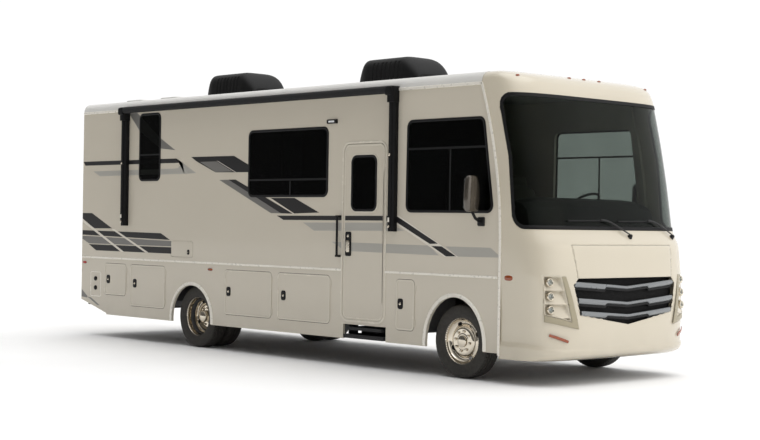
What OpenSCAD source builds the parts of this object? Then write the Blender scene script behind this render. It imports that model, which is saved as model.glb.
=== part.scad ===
// Class A motorhome: body on a ladder frame, with twin rear wheels, an entry door,
// side-hinged storage doors, a front hood and steered front wheels.
// X points forward, Y to the driver's side (left), Z up; the origin lies on the ground under the middle.

/* [Overall] */
// Length over the front cap and the tail lamps
body_len = 8915; // [8400:5:10800]
// Width over the side walls
body_w = 2566; // [2400:2:3080]
// Front of the cap to the front axle
front_overhang = 1345; // [1300:5:1500]
// Distance between the axles
wheelbase = 4826; // [4800:2:5900]

/* [Heights] */
// Lower edge of the skirts above the ground
skirt_z = 320; // [300:5:380]
// Top of the cabin floor, where the walls stand on the skirts
floor_z = 1120; // [1080:5:1180]
// Top of the side walls
wall_top_z = 3206; // [3100:2:3400]
// Rise of the rounded roof edge above the side walls
roof_rise = 120; // [80:5:150]
// Extra height of the roof along its middle
roof_crown = 16; // [0:2:40]

/* [Panels] */
// Thickness of the side walls, rear wall and entry door
wall_t = 50; // [40:1:60]
// Thickness of the skirts and the storage doors
skirt_t = 30; // [24:1:36]
// Thickness of the cabin floor
floor_t = 70; // [50:5:90]
// Thickness of the moulded front cap
cap_t = 30; // [20:1:40]
// Thickness of the window glass
glass_t = 8; // [5:1:12]
// Gap all round a moving panel
door_gap = 5; // [5:0.5:8]
// Gap round a fixed piece that sits in a cut-out
seat_gap = 0.3; // [0.1:0.1:0.5]

/* [Front cap] */
// Squareness of the cap's plan outline
cap_power = 4.4; // [3:0.1:6]
// Points along half of the cap's plan outline
cap_steps = 18; // [12:1:22]
// Height where the rear edge of the cap starts to sweep back
cap_sweep_z = 1480; // [1300:10:1700]
// How far the cap's rear edge sweeps back at the top of the side wall
cap_sweep = 300; // [200:5:340]
// Distance of the cap's rear edge ahead of the front axle
cap_seam = 620; // [600:5:680]

/* [Windshield and hood] */
// Lower edge of the windshield
windshield_z0 = 1645; // [1600:5:1720]
// Upper edge of the windshield
windshield_z1 = 3070; // [2900:5:3090]
// Radius of the windshield's corners
windshield_r = 150; // [80:5:200]
// Width of the hood panel along its top edge
hood_w = 1700; // [1500:10:1800]
// Upper edge of the hood panel
hood_z1 = 1475; // [1460:5:1500]
// Lower edge of the hood panel, which is the top of the grille
hood_z0 = 1130; // [1100:5:1180]
// Depth of the hood panel
hood_t = 28; // [20:1:30]
// How much narrower the hood panel is along its lower edge, on each side
hood_taper = 40; // [0:5:60]
// Height of the grille at its widest point
grille_z = 1060; // [1000:5:1100]
// Height of the grille's lower corners
grille_corner_z = 740; // [700:5:800]
// Height of the grille's point
grille_tip_z = 630; // [560:5:680]
// Depth of the grille's back panel behind the nose
grille_depth = 110; // [90:5:130]
// Depth of the grille bars' faces behind the nose
grille_face = 32; // [24:1:40]
// Drop of the grille bars towards the middle
grille_drop = 55; // [30:5:80]
// Height of a grille bar
bar_h = 58; // [40:1:70]
// Distance between the tops of the grille bars
bar_pitch = 135; // [110:5:150]

/* [Wheels] */
// Outer radius of the tyres
tyre_r = 405; // [380:1:486]
// Width of a tyre
tyre_w = 225; // [200:1:260]
// Radius of the rim's bead seat
rim_r = 248; // [230:1:260]
// Distance of the outer tyre face inside the body side
tyre_inset = 60; // [40:1:90]
// Distance between the centres of twin tyres
twin_pitch = 262; // [250:1:300]
// Distance of the kingpins inside the front tyre's middle
kingpin_inset = 160; // [140:1:180]
// Radius of the kingpins
kingpin_r = 25; // [20:1:30]
// Radius of the front spindles
spindle_r = 35; // [28:1:42]
// Radius of the rear axle's tube ends
axle_end_r = 50; // [40:1:60]
// Radial clearance of pins, spindles and shafts
pin_gap = 0.05; // [0.02:0.01:0.1]

/* [Wheel arches] */
// Half the width of an arch opening
arch_half = 435; // [430:5:520]
// Clear height of the front arch above the tyre
front_arch_rise = 75; // [40:5:120]
// Height of the rear arch's top against the tyre's top
rear_arch_rise = 8; // [0:2:60]
// How far the arches sit behind the axles
arch_shift = 40; // [0:5:60]

/* [Entry door] */
// Front edge of the doorway behind the front axle
doorway_x = 1165; // [1100:5:1250]
// Width of the doorway
doorway_w = 705; // [600:5:760]
// Lower edge of the doorway
doorway_z0 = 540; // [500:5:580]
// Upper edge of the doorway
doorway_z1 = 2595; // [2450:5:2700]
// Corner radius of the doorway
doorway_r = 90; // [40:5:140]

/* [Storage doors] */
// Upper edge of the storage doors
bay_z1 = 1050; // [1000:5:1050]
// Lower edge of the storage doors
bay_z0 = 470; // [420:5:520]
// Lower edge of the rearmost storage door
bay_rear_z0 = 600; // [560:5:640]
// Corner radius of the storage doors
bay_r = 55; // [30:5:80]
// Depth of the storage bays from the outside
bay_depth = 640; // [500:10:700]
// Thickness of the bays' walls
bay_wall = 12; // [8:1:16]

/* [Roof and awning] */
// Length of an air conditioner's shroud
ac_len = 1050; // [800:10:1200]
// Width of an air conditioner's shroud
ac_w = 720; // [600:10:800]
// Height of an air conditioner's shroud
ac_h = 400; // [250:5:420]
// Length of the awning between the outer faces of its arms
awning_len = 5560; // [4600:10:5700]
// Reach of the awning case from the wall
awning_reach = 135; // [110:5:150]

/* [Mirrors] */
// Distance of a mirror's outer edge from the wall
mirror_reach = 270; // [240:5:300]

/* [Chassis] */
// Distance from the middle to each frame rail's middle
rail_y = 432; // [400:2:450]
// Width of a frame rail
rail_w = 80; // [60:2:90]
// Top of the frame rails
rail_z1 = 850; // [820:5:870]
// Depth of the frame rails
rail_h = 230; // [180:5:250]
// Inner side of the hitch receiver's socket
socket = 51; // [50:0.5:52]
// Wall of the hitch receiver
socket_t = 6.5; // [5:0.5:8]
// Radius of the hitch pin's hole
hitch_pin_r = 8; // [7:0.5:9]

/* [Hidden] */
$fn = 64;
side_y = body_w / 2;
front_x = body_len / 2;
lamp_proud = 10;
tail_x = -body_len / 2 + lamp_proud;
axle_f = front_x - front_overhang;
axle_r = axle_f - wheelbase;
roof_z = wall_top_z + roof_rise;
seam_front = axle_f + cap_seam;
trim = 1;

gelcoat = "#e2d9c8";
roof_white = "#eceae6";
tinted = "#15171a";
black = "#1b1b1c";
chrome = "#d9d6d0";
steel = "#6d6f70";

// ---------------------------------------------------------------- outlines

// Points of an arc about a centre, from one angle to another
function arc(c, r, a0, a1, n = 6) =
  [for (i = [0:n]) c + r * [cos(a0 + (a1 - a0) * i / n), sin(a0 + (a1 - a0) * i / n)]];

function unit(v) = v / norm(v);

// Rounded corner b between its neighbours a and c
function corner(a, b, c, r, n = 6) =
  let (
    u = unit(a - b), v = unit(c - b), half = acos(u * v) / 2,
    mid = b + unit(u + v) * r / sin(half),
    p = b + u * r / tan(half) - mid, q = b + v * r / tan(half) - mid,
    a0 = atan2(p.y, p.x), a1 = atan2(q.y, q.x),
    turn = (a1 - a0 + 540) % 360 - 180
  ) arc(mid, r, a0, a0 + turn, n);

// An outline with each corner rounded by r
function rounded(pts, r) =
  let (n = len(pts))
  [for (i = [0:n - 1]) each corner(pts[(i + n - 1) % n], pts[i], pts[(i + 1) % n], r)];

// A rectangle's corners, drawn in by gap
function rect(x0, x1, z0, z1, gap = 0) =
  [[x0 + gap, z0 + gap], [x1 - gap, z0 + gap], [x1 - gap, z1 - gap], [x0 + gap, z1 - gap]];

// A slab of thickness t on one side of the body, its outer face standing out by proud
module on_side(side, t, proud = 0) {
  y = side < 0 ? -side_y - proud + t : side_y + proud;
  translate([0, y, 0]) rotate([90, 0, 0]) linear_extrude(t) children();
}

// A block between two corners
module block(a, b) {
  translate(a) cube(b - a);
}

// A cylinder along Y
module rod_y(p, r, l) {
  translate(p) rotate([90, 0, 0]) cylinder(r = r, h = l, center = true);
}

// ---------------------------------------------------------------- front cap surface

// Rear edge of the cap at height z: upright below, swept back above
function seam_x(z) =
  let (f = (min(z, wall_top_z) - cap_sweep_z) / (wall_top_z - cap_sweep_z))
  seam_front - (f > 0 ? cap_sweep * f * f : 0);

// Heights of the cap's rings, and how far the nose lies behind its foremost point there
cap_rings = [
  [skirt_z - 20, 135], [skirt_z, 62], [skirt_z + 40, 18], [skirt_z + 90, 6],
  [560, 2], [740, 0], [900, 6], [1030, 18], [1160, 34], [1300, 52], [1400, 66],
  [1465, 80], [1500, 96], [1545, 128], [1600, 168], [1650, 190], [1720, 205],
  [1900, 236], [2200, 290], [2600, 372], [2850, 428], [3030, 470], [3140, 505],
  [wall_top_z, 542], [wall_top_z + 0.5 * roof_rise, 600],
  [wall_top_z + 0.85 * roof_rise, 690], [roof_z, 820]
];

// How far the cap's sides draw in at height z, to follow the rounded roof edge
function side_draw(z) =
  z <= wall_top_z ? 0 : roof_rise - sqrt(max(0, pow(roof_rise, 2) - pow(z - wall_top_z, 2)));

// Place of the cap's face ahead of the origin at a point seen from the front
function nose_x(y, z) =
  let (
    xs = seam_x(z), a = front_x - lookup(z, cap_rings) - xs,
    b = side_y - side_draw(z)
  ) xs + a * pow(1 - pow(abs(y) / b, cap_power), 1 / cap_power);

// Plan outline at one ring: a superellipse from side to side, closed across the rear edge
function cap_ring(z, back, inset, rear) =
  let (
    xs = seam_x(z), a = front_x - back - inset - xs,
    b = side_y - side_draw(z) - inset
  )
  concat(
    [[xs - rear, b, z]],
    [for (i = [cap_steps:-1:-cap_steps])
      let (t = 90 * i / cap_steps)
      [xs + a * pow(cos(t), 2 / cap_power), b * sign(t) * pow(abs(sin(t)), 2 / cap_power), z]],
    [[xs - rear, -b, z]]
  );

// The cap as a solid: its rings stacked and joined, all drawn in by inset,
// with the floor and rear edge moved out to clear a cut
module cap_solid(inset, cut = 0) {
  n = len(cap_rings);
  m = 2 * cap_steps + 3;
  z_top = roof_z - inset;
  pts = [for (k = [0:n - 1])
    let (
      z = k == 0 ? cap_rings[0][0] - cut : min(cap_rings[k][0], z_top - (n - 1 - k)),
      back = cap_rings[k][1]
    )
    each cap_ring(z, back, inset, cut + trim)];
  faces = concat(
    [[for (j = [m - 1:-1:0]) j]],
    [for (k = [0:n - 2], j = [0:m - 1]) let (a = k * m + j, b = k * m + (j + 1) % m) [a, b, a + m]],
    [for (k = [0:n - 2], j = [0:m - 1]) let (a = k * m + j, b = k * m + (j + 1) % m) [a + m, b, b + m]],
    [[for (j = [0:m - 1]) (n - 1) * m + j]]
  );
  polyhedron(pts, faces, convexity = 4);
}

// The part of the cap between two depths under its face
module cap_layer(outer, inner) {
  difference() {
    cap_solid(outer);
    cap_solid(inner, 60);
  }
}

// Everything ahead of the seam, a little inside it
module ahead_of_seam() {
  pts = concat(
    [for (r = cap_rings) [seam_x(r[0]), r[0]]],
    [[front_x + 100, roof_z + 50], [front_x + 100, skirt_z - 50], [seam_front, skirt_z - 50]]
  );
  translate([0, side_y + 50, 0]) rotate([90, 0, 0]) linear_extrude(body_w + 100) polygon(pts);
}

// Side outline of the windshield, drawn in by gap
module windshield_cut(gap = 0) {
  edge = axle_f;
  pts = [
    [edge + 800 + gap, windshield_z0 + gap], [front_x + 200, windshield_z0 + gap],
    [front_x + 200, windshield_z1 - gap], [edge + 560 + gap, windshield_z1 - gap],
    [edge + 726 + gap, 2400]
  ];
  translate([0, side_y + 100, 0]) rotate([90, 0, 0]) linear_extrude(body_w + 200)
    polygon(rounded(pts, windshield_r));
}

// A prism along X, ahead of the windshield's foot, from an outline in Y and Z
module nose_cut() {
  translate([axle_f + 950, 0, 0]) rotate([90, 0, 90]) linear_extrude(600) children();
}

// Front outline of the hood panel, drawn in by gap: upright at the hinge, narrower below
module hood_outline(gap = 0) {
  w1 = hood_w / 2 - gap;
  w0 = w1 - hood_taper;
  knee = hood_z1 - 170;
  top = hood_z1 - (gap > 0 ? hood_top_gap : 0);
  polygon(rounded([
    [-w0, hood_z0 + gap], [w0, hood_z0 + gap], [w1, knee],
    [w1, top], [-w1, top], [-w1, knee]
  ], 25));
}

// Pin line of the hood's hinge, behind the panel and below its top edge
hood_top_gap = door_gap + 4;
hood_pin = [front_x - 112, hood_z1 - hood_top_gap - 100];
hood_pin_r = 8;
hood_lug_y = 300;

// Front outline of the grille, a shallow V along its lower edge, drawn in by gap
module grille_outline(gap = 0) {
  w = hood_w / 2 - gap;
  polygon([
    [0, grille_tip_z + gap], [w - 130, grille_corner_z - 20 + gap], [w - 60, grille_corner_z + 10 + gap],
    [w + 30, grille_z], [w - 45, hood_z0 - gap], [-w + 45, hood_z0 - gap],
    [-w - 30, grille_z], [-w + 60, grille_corner_z + 10 + gap], [-w + 130, grille_corner_z - 20 + gap]
  ]);
}

// ---------------------------------------------------------------- body shell

// A hinge along a panel's front edge: its pin line stands clear of the body side.
// The leaf and middle barrel belong to the moving panel, the end barrels to the body.
hinge_r = 5;
hinge_out = 5.5;
hinge_leaf = 4;
barrel_gap = 0.3;

// Barrels and leaf from z0 to z1, the leaf reaching from the pin line x by reach
module hinge_part(side, x, z0, z1, reach) {
  y = side * (side_y + hinge_out);
  translate([x, y, z0]) cylinder(r = hinge_r, h = z1 - z0, $fn = 32);
  scale([1, side, 1]) block(
    [min(x, x + reach), side_y, z0], [max(x, x + reach), side_y + hinge_leaf, z1]
  );
}

// The moving panel's share of a hinge between z0 and z1
module panel_hinge(side, x, z0, z1, end) {
  difference() {
    hinge_part(side, x, z0 + end, z1 - end, -26);
    scale([1, side, 1]) block([x - door_gap, side_y - 1, z0], [x, side_y + 1, z1]);
  }
}

// The body's share of the same hinge
module body_hinge(side, x, z0, z1, end) {
  hinge_part(side, x, z0, z0 + end - barrel_gap, 24);
  hinge_part(side, x, z1 - end + barrel_gap, z1, 24);
}

// Heights of the hinge on a storage door, and of its end barrels
function bay_hinge(bay) = [bay[2] + bay_r + 5, bay_z1 - bay_r - 5];
bay_hinge_end = 70;
door_hinge = [doorway_z0 + 100, doorway_z1 - 200];
door_hinge_end = 120;

// Outline of the doorway, drawn in by gap
module doorway(gap = 0) {
  x1 = axle_f - doorway_x;
  polygon(rounded(rect(x1 - doorway_w, x1, doorway_z0, doorway_z1, gap), doorway_r - gap));
}

// Windows: outline corners in X and Z. Rear bedroom, living room, and the cab's slanted one.
bed_window = rect(axle_f - 6120, axle_f - 5630, 2210, 3120);
room_window = rect(axle_f - 3680, axle_f - 2165, 1985, 2805);
cab_window = [
  [axle_f - 810, 1810], [axle_f + 515, 1810], [axle_f + 365, 2826], [axle_f - 800, 2826]
];
window_r = 75;

// Outline of one window, drawn in by gap
module window_outline(pts, gap = 0) {
  mid = (pts[0] + pts[2]) / 2;
  polygon(rounded([for (p = pts) p - gap * [sign(p.x - mid.x), sign(p.y - mid.y)]], window_r - gap));
}

// Utility hatch in the right wall
hatch_box = [axle_f - 5350, axle_f - 4850, 1180, 1390];

module hatch_outline(gap = 0) {
  polygon(rounded(rect(hatch_box[0], hatch_box[1], hatch_box[2], hatch_box[3], gap), 30));
}

// A side wall, standing on the skirt and meeting the cap at its swept edge
module side_wall(side) {
  outline = concat(
    [[tail_x, floor_z]],
    [for (r = cap_rings) if (r[0] > floor_z && r[0] < cap_sweep_z) [seam_front, r[0]]],
    [for (r = cap_rings) if (r[0] >= cap_sweep_z && r[0] <= wall_top_z) [seam_x(r[0]), r[0]]],
    [[tail_x, wall_top_z]]
  );
  start = [[seam_front, floor_z]];
  difference() {
    on_side(side, wall_t) polygon(concat([outline[0]], start, [for (i = [1:len(outline) - 1]) outline[i]]));
    for (w = [bed_window, room_window, cab_window])
      on_side(side, wall_t + 40, 20) window_outline(w);
    if (side < 0) on_side(side, wall_t + 40, 20) doorway();
    if (side < 0) on_side(side, skirt_t + 20, 20) hatch_outline();
  }
  if (side < 0) {
    hinge_part(side, axle_f - doorway_x, door_hinge[1] - door_hinge_end + barrel_gap, door_hinge[1], 24);
    for (x = [hatch_box[0] + 40, hatch_box[1] - 90 + barrel_gap])
      hatch_hinge_part(x, 50 - barrel_gap, 16);
  }
}

// Barrel and leaf of the hatch's hinge along its top edge, reaching up or down from the pin line
module hatch_hinge_part(x, l, reach) {
  z = hatch_box[3];
  translate([x, -side_y - hinge_out, z]) rotate([0, 90, 0]) cylinder(r = hinge_r, h = l, $fn = 32);
  block([x, -side_y - hinge_leaf, min(z, z + reach)], [x + l, -side_y, max(z, z + reach)]);
}

module side_wall_right() {
  color(gelcoat) side_wall(-1);
}

module side_wall_left() {
  color(gelcoat) side_wall(1);
}

// Storage doors: rear edge, front edge and lower edge. The middle doors fill the length from
// behind the rear wheels to the entry steps, with a pillar between them.
middle_x0 = axle_r + 676;
middle_x1 = axle_f - 2090;
pillar_x = (middle_x0 + middle_x1) / 2 - 15;
pillar_w = 110;
middle_bays = [
  [middle_x0, pillar_x - pillar_w / 2, bay_z0], [pillar_x + pillar_w / 2, middle_x1, bay_z0]
];
right_bays = [
  [axle_r - 2134, axle_r - 1584, bay_rear_z0], [axle_r - 1484, axle_r - 644, bay_z0],
  middle_bays[0], middle_bays[1], [axle_f - 965, axle_f - 658, bay_z0]
];
left_bays = [[axle_r - 2134, axle_r - 644, bay_rear_z0], middle_bays[0], middle_bays[1]];

module bay_outline(bay, gap = 0) {
  polygon(rounded(rect(bay[0], bay[1], bay[2], bay_z1, gap), bay_r - gap));
}

// Outline of a wheel arch: a half ellipse over the tyre on upright sides
module arch_outline(x, rise) {
  top = 2 * tyre_r + rise;
  h = top - skirt_z - 60;
  polygon(concat(
    [for (i = [0:16]) [x + arch_half * cos(180 * i / 16), skirt_z + 60 + h * sin(180 * i / 16)]],
    [[x - arch_half, skirt_z - 50], [x + arch_half, skirt_z - 50]]
  ));
}

// Departure cut at the rear lower corner
tail_cut = [660, 190];

module skirt(side, bays) {
  difference() {
    on_side(side, skirt_t) polygon([
      [tail_x, skirt_z + tail_cut.y], [tail_x + tail_cut.x, skirt_z + 20],
      [tail_x + tail_cut.x, skirt_z], [seam_front, skirt_z],
      [seam_front, floor_z], [tail_x, floor_z]
    ]);
    on_side(side, skirt_t + 40, 20) arch_outline(axle_f - arch_shift, front_arch_rise);
    on_side(side, skirt_t + 40, 20) arch_outline(axle_r - arch_shift, rear_arch_rise);
    for (bay = bays) on_side(side, skirt_t + 40, 20) bay_outline(bay);
    if (side < 0) on_side(side, skirt_t + 40, 20) doorway();
    if (side < 0) on_side(side, skirt_t + 40, 20)
      polygon(rect(step_x0, step_x1, skirt_z - 20, step_top_z));
  }
  for (bay = bays) body_hinge(side, bay[1], bay_hinge(bay)[0], bay_hinge(bay)[1], bay_hinge_end);
  if (side < 0)
    hinge_part(side, axle_f - doorway_x, door_hinge[0], door_hinge[0] + door_hinge_end - barrel_gap, 24);
}

module skirt_right() {
  color(gelcoat) skirt(-1, right_bays);
}

module skirt_left() {
  color(gelcoat) skirt(1, left_bays);
}

module rear_wall() {
  color(gelcoat) difference() {
    block([tail_x, -side_y + wall_t, skirt_z + tail_cut.y], [tail_x + wall_t, side_y - wall_t, wall_top_z]);
    for (y = [-1, 1]) translate([0, y * lamp_y, 0])
      block([tail_x - 1, -lamp_w / 2, lamp_z0], [tail_x + lamp_depth, lamp_w / 2, lamp_z0 + lamp_h]);
  }
}

// Roof: flat underside, rounded long edges and a low crown
module roof() {
  w = side_y - roof_rise;
  outline = concat(
    arc([w, wall_top_z], roof_rise, 0, 90, 8), [[0, roof_z + roof_crown]],
    arc([-w, wall_top_z], roof_rise, 90, 180, 8)
  );
  color(roof_white) translate([tail_x, 0, 0]) rotate([90, 0, 90])
    linear_extrude(seam_x(wall_top_z) - tail_x) polygon(outline);
}

module floor() {
  x1 = axle_f + floor_front;
  color("#55524c") difference() {
    block([tail_x + wall_t, -side_y + skirt_t, floor_z - floor_t], [x1, side_y - skirt_t, floor_z]);
    block([well_x0, -side_y, floor_z - floor_t - 1], [well_x1, -side_y + well_depth, floor_z + 1]);
  }
}
floor_front = cap_seam;

// ---------------------------------------------------------------- front cap and what it holds

lamp_z = [805, 945, 1100];
round_lamp_r = 42;
round_lamp_y = 1120;

module front_cap() {
  color(gelcoat) resize([0, 0, 0]) difference() {
    intersection() {
      cap_layer(0, cap_t);
      ahead_of_seam();
    }
    windshield_cut();
    nose_cut() hood_outline();
    nose_cut() grille_outline();
    for (y = [-1, 1], z = lamp_z)
      nose_cut() translate([y * round_lamp_y, z]) circle(round_lamp_r + seat_gap, $fn = 32);
    for (y = wiper_y) wiper_boss(y, seat_gap, 20);
  }
}

module windshield() {
  color(tinted) resize([0, 0, 0]) intersection() {
    cap_layer(6, 6 + glass_t);
    windshield_cut(seat_gap);
  }
}

// Hood panel with the two lugs that turn on its hinge rod
module hood() {
  color(gelcoat) {
    resize([0, 0, 0]) intersection() {
      cap_layer(0, hood_t);
      nose_cut() hood_outline(door_gap);
    }
    for (y = [-1, 1]) translate([hood_pin.x, y * hood_lug_y, hood_pin.y]) difference() {
      union() {
        rod_y([0, 0, 0], 20, 30);
        block([0, -15, -20], [45, 15, 20]);
      }
      rod_y([0, 0, 0], hood_pin_r + pin_gap, 40);
    }
  }
}

// A flat piece behind the nose, between two depths, from an outline in Y and Z
module nose_plate(x0, x1) {
  translate([front_x - x1, 0, 0]) rotate([90, 0, 90]) linear_extrude(x1 - x0) children();
}

// One bar of the grille, a shallow V across the nose with its top edge at z
module grille_bar(z) {
  w = hood_w / 2;
  polygon([
    [-w, z], [0, z - grille_drop], [w, z],
    [w, z - bar_h], [0, z - grille_drop - bar_h], [-w, z - bar_h]
  ]);
}

// Grille: dark back panel and rim, with three chevron bars
module grille() {
  color(black) {
    nose_plate(grille_depth - 8, grille_depth) grille_outline(seat_gap);
    nose_plate(grille_face, grille_depth - 8) difference() {
      grille_outline(seat_gap);
      grille_outline(seat_gap + 12);
    }
    for (k = [0:2]) nose_plate(grille_face, grille_depth - 8) intersection() {
      grille_outline(seat_gap + 11);
      grille_bar(hood_z0 - 20 - bar_pitch * k);
    }
  }
}

// Three round lamps on each corner of the cap, set back in its bores
module headlamps() {
  color(chrome) for (y = [-1, 1], z = lamp_z)
    translate([nose_x(round_lamp_y, z) - 90, y * round_lamp_y, z]) rotate([0, 90, 0])
      cylinder(r = round_lamp_r, h = 60);
}

// Wiper shafts on the cowl under the windshield
wiper_y = [165, 990];
wiper_z = 1590;
// Blades lie up the glass on the right of their shafts
wiper_reach = [470, 330];
wiper_blade = 620;
wiper_r = 7;

// A wiper's boss, upright through the cowl
module wiper_boss(y, gap = 0, cut = 0) {
  translate([nose_x(y, wiper_z) + 6, y, wiper_z - 55 - cut]) cylinder(r = 20 + gap, h = 90 + 2 * cut, $fn = 32);
}

// A square bar between two points
module strut(a, b, r) {
  d = b - a;
  l = norm(d);
  translate(a) rotate([0, acos(d.z / l), atan2(d.y, d.x)]) translate([-r, -r, -r]) cube([2 * r, 2 * r, l + 2 * r]);
}

// A point on the face of the cap and its glass, standing out by proud
function on_nose(y, z, proud) = [nose_x(y, z) + proud, y, z];

// One wiper: boss, then arm and blade along the glass in short straight lengths
module wiper(y, reach) {
  n = 4;
  root = [y, wiper_z + 30];
  tip = [y - reach[0], wiper_z + reach[1]];
  run = wiper_blade / 2 * unit([-reach[0], reach[1]]);
  arm = [for (i = [0:n]) let (p = root + (tip - root) * i / n) on_nose(p.x, p.y, 28)];
  blade = [for (i = [-2:2]) let (p = tip + run * i / 2) on_nose(p.x, p.y, 18)];
  wiper_boss(y);
  for (i = [0:n - 1]) {
    strut(arm[i], arm[i + 1], wiper_r);
    strut(blade[i], blade[i + 1], wiper_r);
  }
}

module wipers() {
  color(black) for (y = wiper_y) wiper(y, wiper_reach);
}

module dashboard() {
  color("#3a3733") difference() {
    translate([0, side_y - wall_t - 60, 0]) rotate([90, 0, 0])
    linear_extrude(body_w - 2 * wall_t - 120) polygon([
      [axle_f + 500, floor_z], [axle_f + 560, floor_z], [axle_f + 900, floor_z + 100],
      [axle_f + 960, floor_z + 380], [axle_f + 900, floor_z + 440], [axle_f + 560, floor_z + 480],
      [axle_f + 460, floor_z + 420], [axle_f + 450, floor_z + 330]
    ]);
    translate(steer_at) rotate([0, -90 + steer_tilt, 0])
      translate([0, 0, -column_l]) cylinder(r = column_r + seat_gap, h = column_l);
  }
}

// ---------------------------------------------------------------- glass in the sides

module side_windows() {
  color(tinted) for (side = [-1, 1], w = [bed_window, room_window, cab_window])
    on_side(side, glass_t + 6, 3) window_outline(w, seat_gap);
}

// ---------------------------------------------------------------- entry door

module entry_door_cut(gap = 0) {
  x1 = axle_f - doorway_x;
  polygon(rounded(rect(x1 - 565, x1 - 145, 1820, 2450, gap), 55));
}

module entry_door() {
  x1 = axle_f - doorway_x;
  color(gelcoat) difference() {
    union() {
      on_side(-1, wall_t) doorway(door_gap);
      panel_hinge(-1, x1, door_hinge[0], door_hinge[1], door_hinge_end);
    }
    on_side(-1, wall_t + 40, 20) entry_door_cut();
  }
}

module entry_door_window() {
  color(tinted) on_side(-1, glass_t + 6, 3) entry_door_cut(seat_gap);
}

// Outside folding step under the doorway, and the stepwell inside it
step_x0 = axle_f - 1850;
step_x1 = axle_f - 1120;
step_top_z = 490;
well_x0 = axle_f - doorway_x - doorway_w - 20;
well_x1 = axle_f - doorway_x + 20;
well_depth = 560;

module entry_steps() {
  y0 = -side_y + wall_t + 10;
  y1 = -side_y + well_depth;
  t = 20;
  color("#2a2a2b") {
    // well floor, middle tread and end walls
    block([well_x0, y0, doorway_z0 - 25], [well_x1, y1, doorway_z0 - 5]);
    block([well_x0, y0 + 270, doorway_z0 - 5], [well_x1, y1, doorway_z0 + 270]);
    block([well_x0, y0, doorway_z0 - 5], [well_x0 + t, y1, floor_z]);
    block([well_x1 - t, y0, doorway_z0 - 5], [well_x1, y1, floor_z]);
    block([well_x0 + t, y1 - t, doorway_z0 + 270], [well_x1 - t, y1, floor_z]);
    // folded step and the hangers that carry it
    block([step_x0 + 30, -side_y - 20, 330], [step_x1 - 30, -side_y + 300, 375]);
    block([step_x0 + 30, -side_y + 60, 375], [step_x0 + 50, -side_y + 200, doorway_z0 - 25]);
    block([step_x1 - 60, -side_y + 60, 375], [step_x1 - 40, -side_y + 200, doorway_z0 - 25]);
    block([step_x0 + 60, -side_y - 10, 425], [step_x1 - 70, -side_y + 300, 460]);
    block([step_x0 + 60, -side_y + 240, 375], [step_x1 - 70, -side_y + 300, 425]);
  }
}

module grab_handle() {
  x = axle_f - 1930;
  color(black) {
    translate([x, -side_y - 48, 1270]) cylinder(r = 14, h = 490);
    for (z = [1270, 1736]) block([x - 18, -side_y - 60, z], [x + 18, -side_y, z + 24]);
  }
}

// ---------------------------------------------------------------- storage doors and hatch

// A storage door: flush slab with its hinge along the front edge
module storage_door(side, bay) {
  color(gelcoat) {
    on_side(side, skirt_t - 4) bay_outline(bay, door_gap);
    panel_hinge(side, bay[1], bay_hinge(bay)[0], bay_hinge(bay)[1], bay_hinge_end);
  }
}

module utility_hatch() {
  x0 = hatch_box[0] + 90;
  l = hatch_box[1] - 90 - x0;
  z = hatch_box[3];
  color(gelcoat) {
    on_side(-1, 16) hatch_outline(door_gap);
    difference() {
      hatch_hinge_part(x0, l, -26);
      block([x0 - 1, -side_y - 1, z - door_gap], [x0 + l + 1, -side_y + 1, z + 1]);
    }
  }
}

// Storage bays: five-sided boxes behind the doors, open to the outside
module bay_box(side, x0, x1, z0) {
  y_in = side_y - bay_depth;
  y_out = side_y - skirt_t;
  z1 = floor_z - floor_t;
  scale([1, side, 1]) {
    block([x0 - bay_wall, y_in, z0 - bay_wall], [x1 + bay_wall, y_out, z0]);
    block([x0 - bay_wall, y_in, z0], [x1 + bay_wall, y_in + bay_wall, z1]);
    block([x0 - bay_wall, y_in + bay_wall, z0], [x0, y_out, z1]);
    block([x1, y_in + bay_wall, z0], [x1 + bay_wall, y_out, z1]);
  }
}

module storage_bays() {
  m = 8;
  color("#8a8880") {
    bay_box(-1, right_bays[0][0] - m, right_bays[1][1] + m, bay_rear_z0 - m);
    bay_box(-1, right_bays[2][0] - m, right_bays[3][1] + m, bay_z0 - m);
    bay_box(-1, right_bays[4][0] - m, right_bays[4][1] + m, bay_z0 - m);
    bay_box(1, left_bays[0][0] - m, left_bays[0][1] + m, bay_rear_z0 - m);
    bay_box(1, left_bays[1][0] - m, left_bays[2][1] + m, bay_z0 - m);
  }
}

// ---------------------------------------------------------------- roof, awning, mirrors, lamps

module air_conditioner(x) {
  z = roof_z + roof_crown;
  translate([x, 0, 0]) rotate([90, 0, 0]) translate([0, 0, -ac_w / 2])
    linear_extrude(ac_w) polygon([
      [-ac_len / 2, roof_z], [ac_len / 2, roof_z], [ac_len / 2, z + 0.25 * ac_h],
      [ac_len / 2 - 200, z + 0.9 * ac_h], [ac_len / 2 - 330, z + ac_h],
      [-ac_len / 2 + 120, z + ac_h], [-ac_len / 2, z + 0.6 * ac_h]
    ]);
}

module air_conditioners() {
  color(black) difference() {
    union() {
      air_conditioner(axle_f - 5400);
      air_conditioner(axle_f - 2200);
    }
    roof();
  }
}

module roof_vents() {
  color(roof_white) difference() {
    for (x = [axle_f - 7000, axle_f - 6150])
      block([x - 210, -820, roof_z - 5], [x + 210, -400, roof_z + roof_crown + 62]);
    roof();
  }
}

module awning() {
  x0 = axle_f - 6480;
  x1 = x0 + awning_len;
  y0 = -side_y - awning_reach;
  color(black) {
    // arms
    for (x = [x0, x1 - 150]) block([x, y0 + 55, 1580], [x + 150, -side_y, 3230]);
    // roller with its end caps
    rod_y_along_x([x0, y0 + 45, 3185], 45, awning_len);
    for (x = [x0, x1 - 60]) block([x, y0, 3140], [x + 60, -side_y, 3230]);
  }
}

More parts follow.
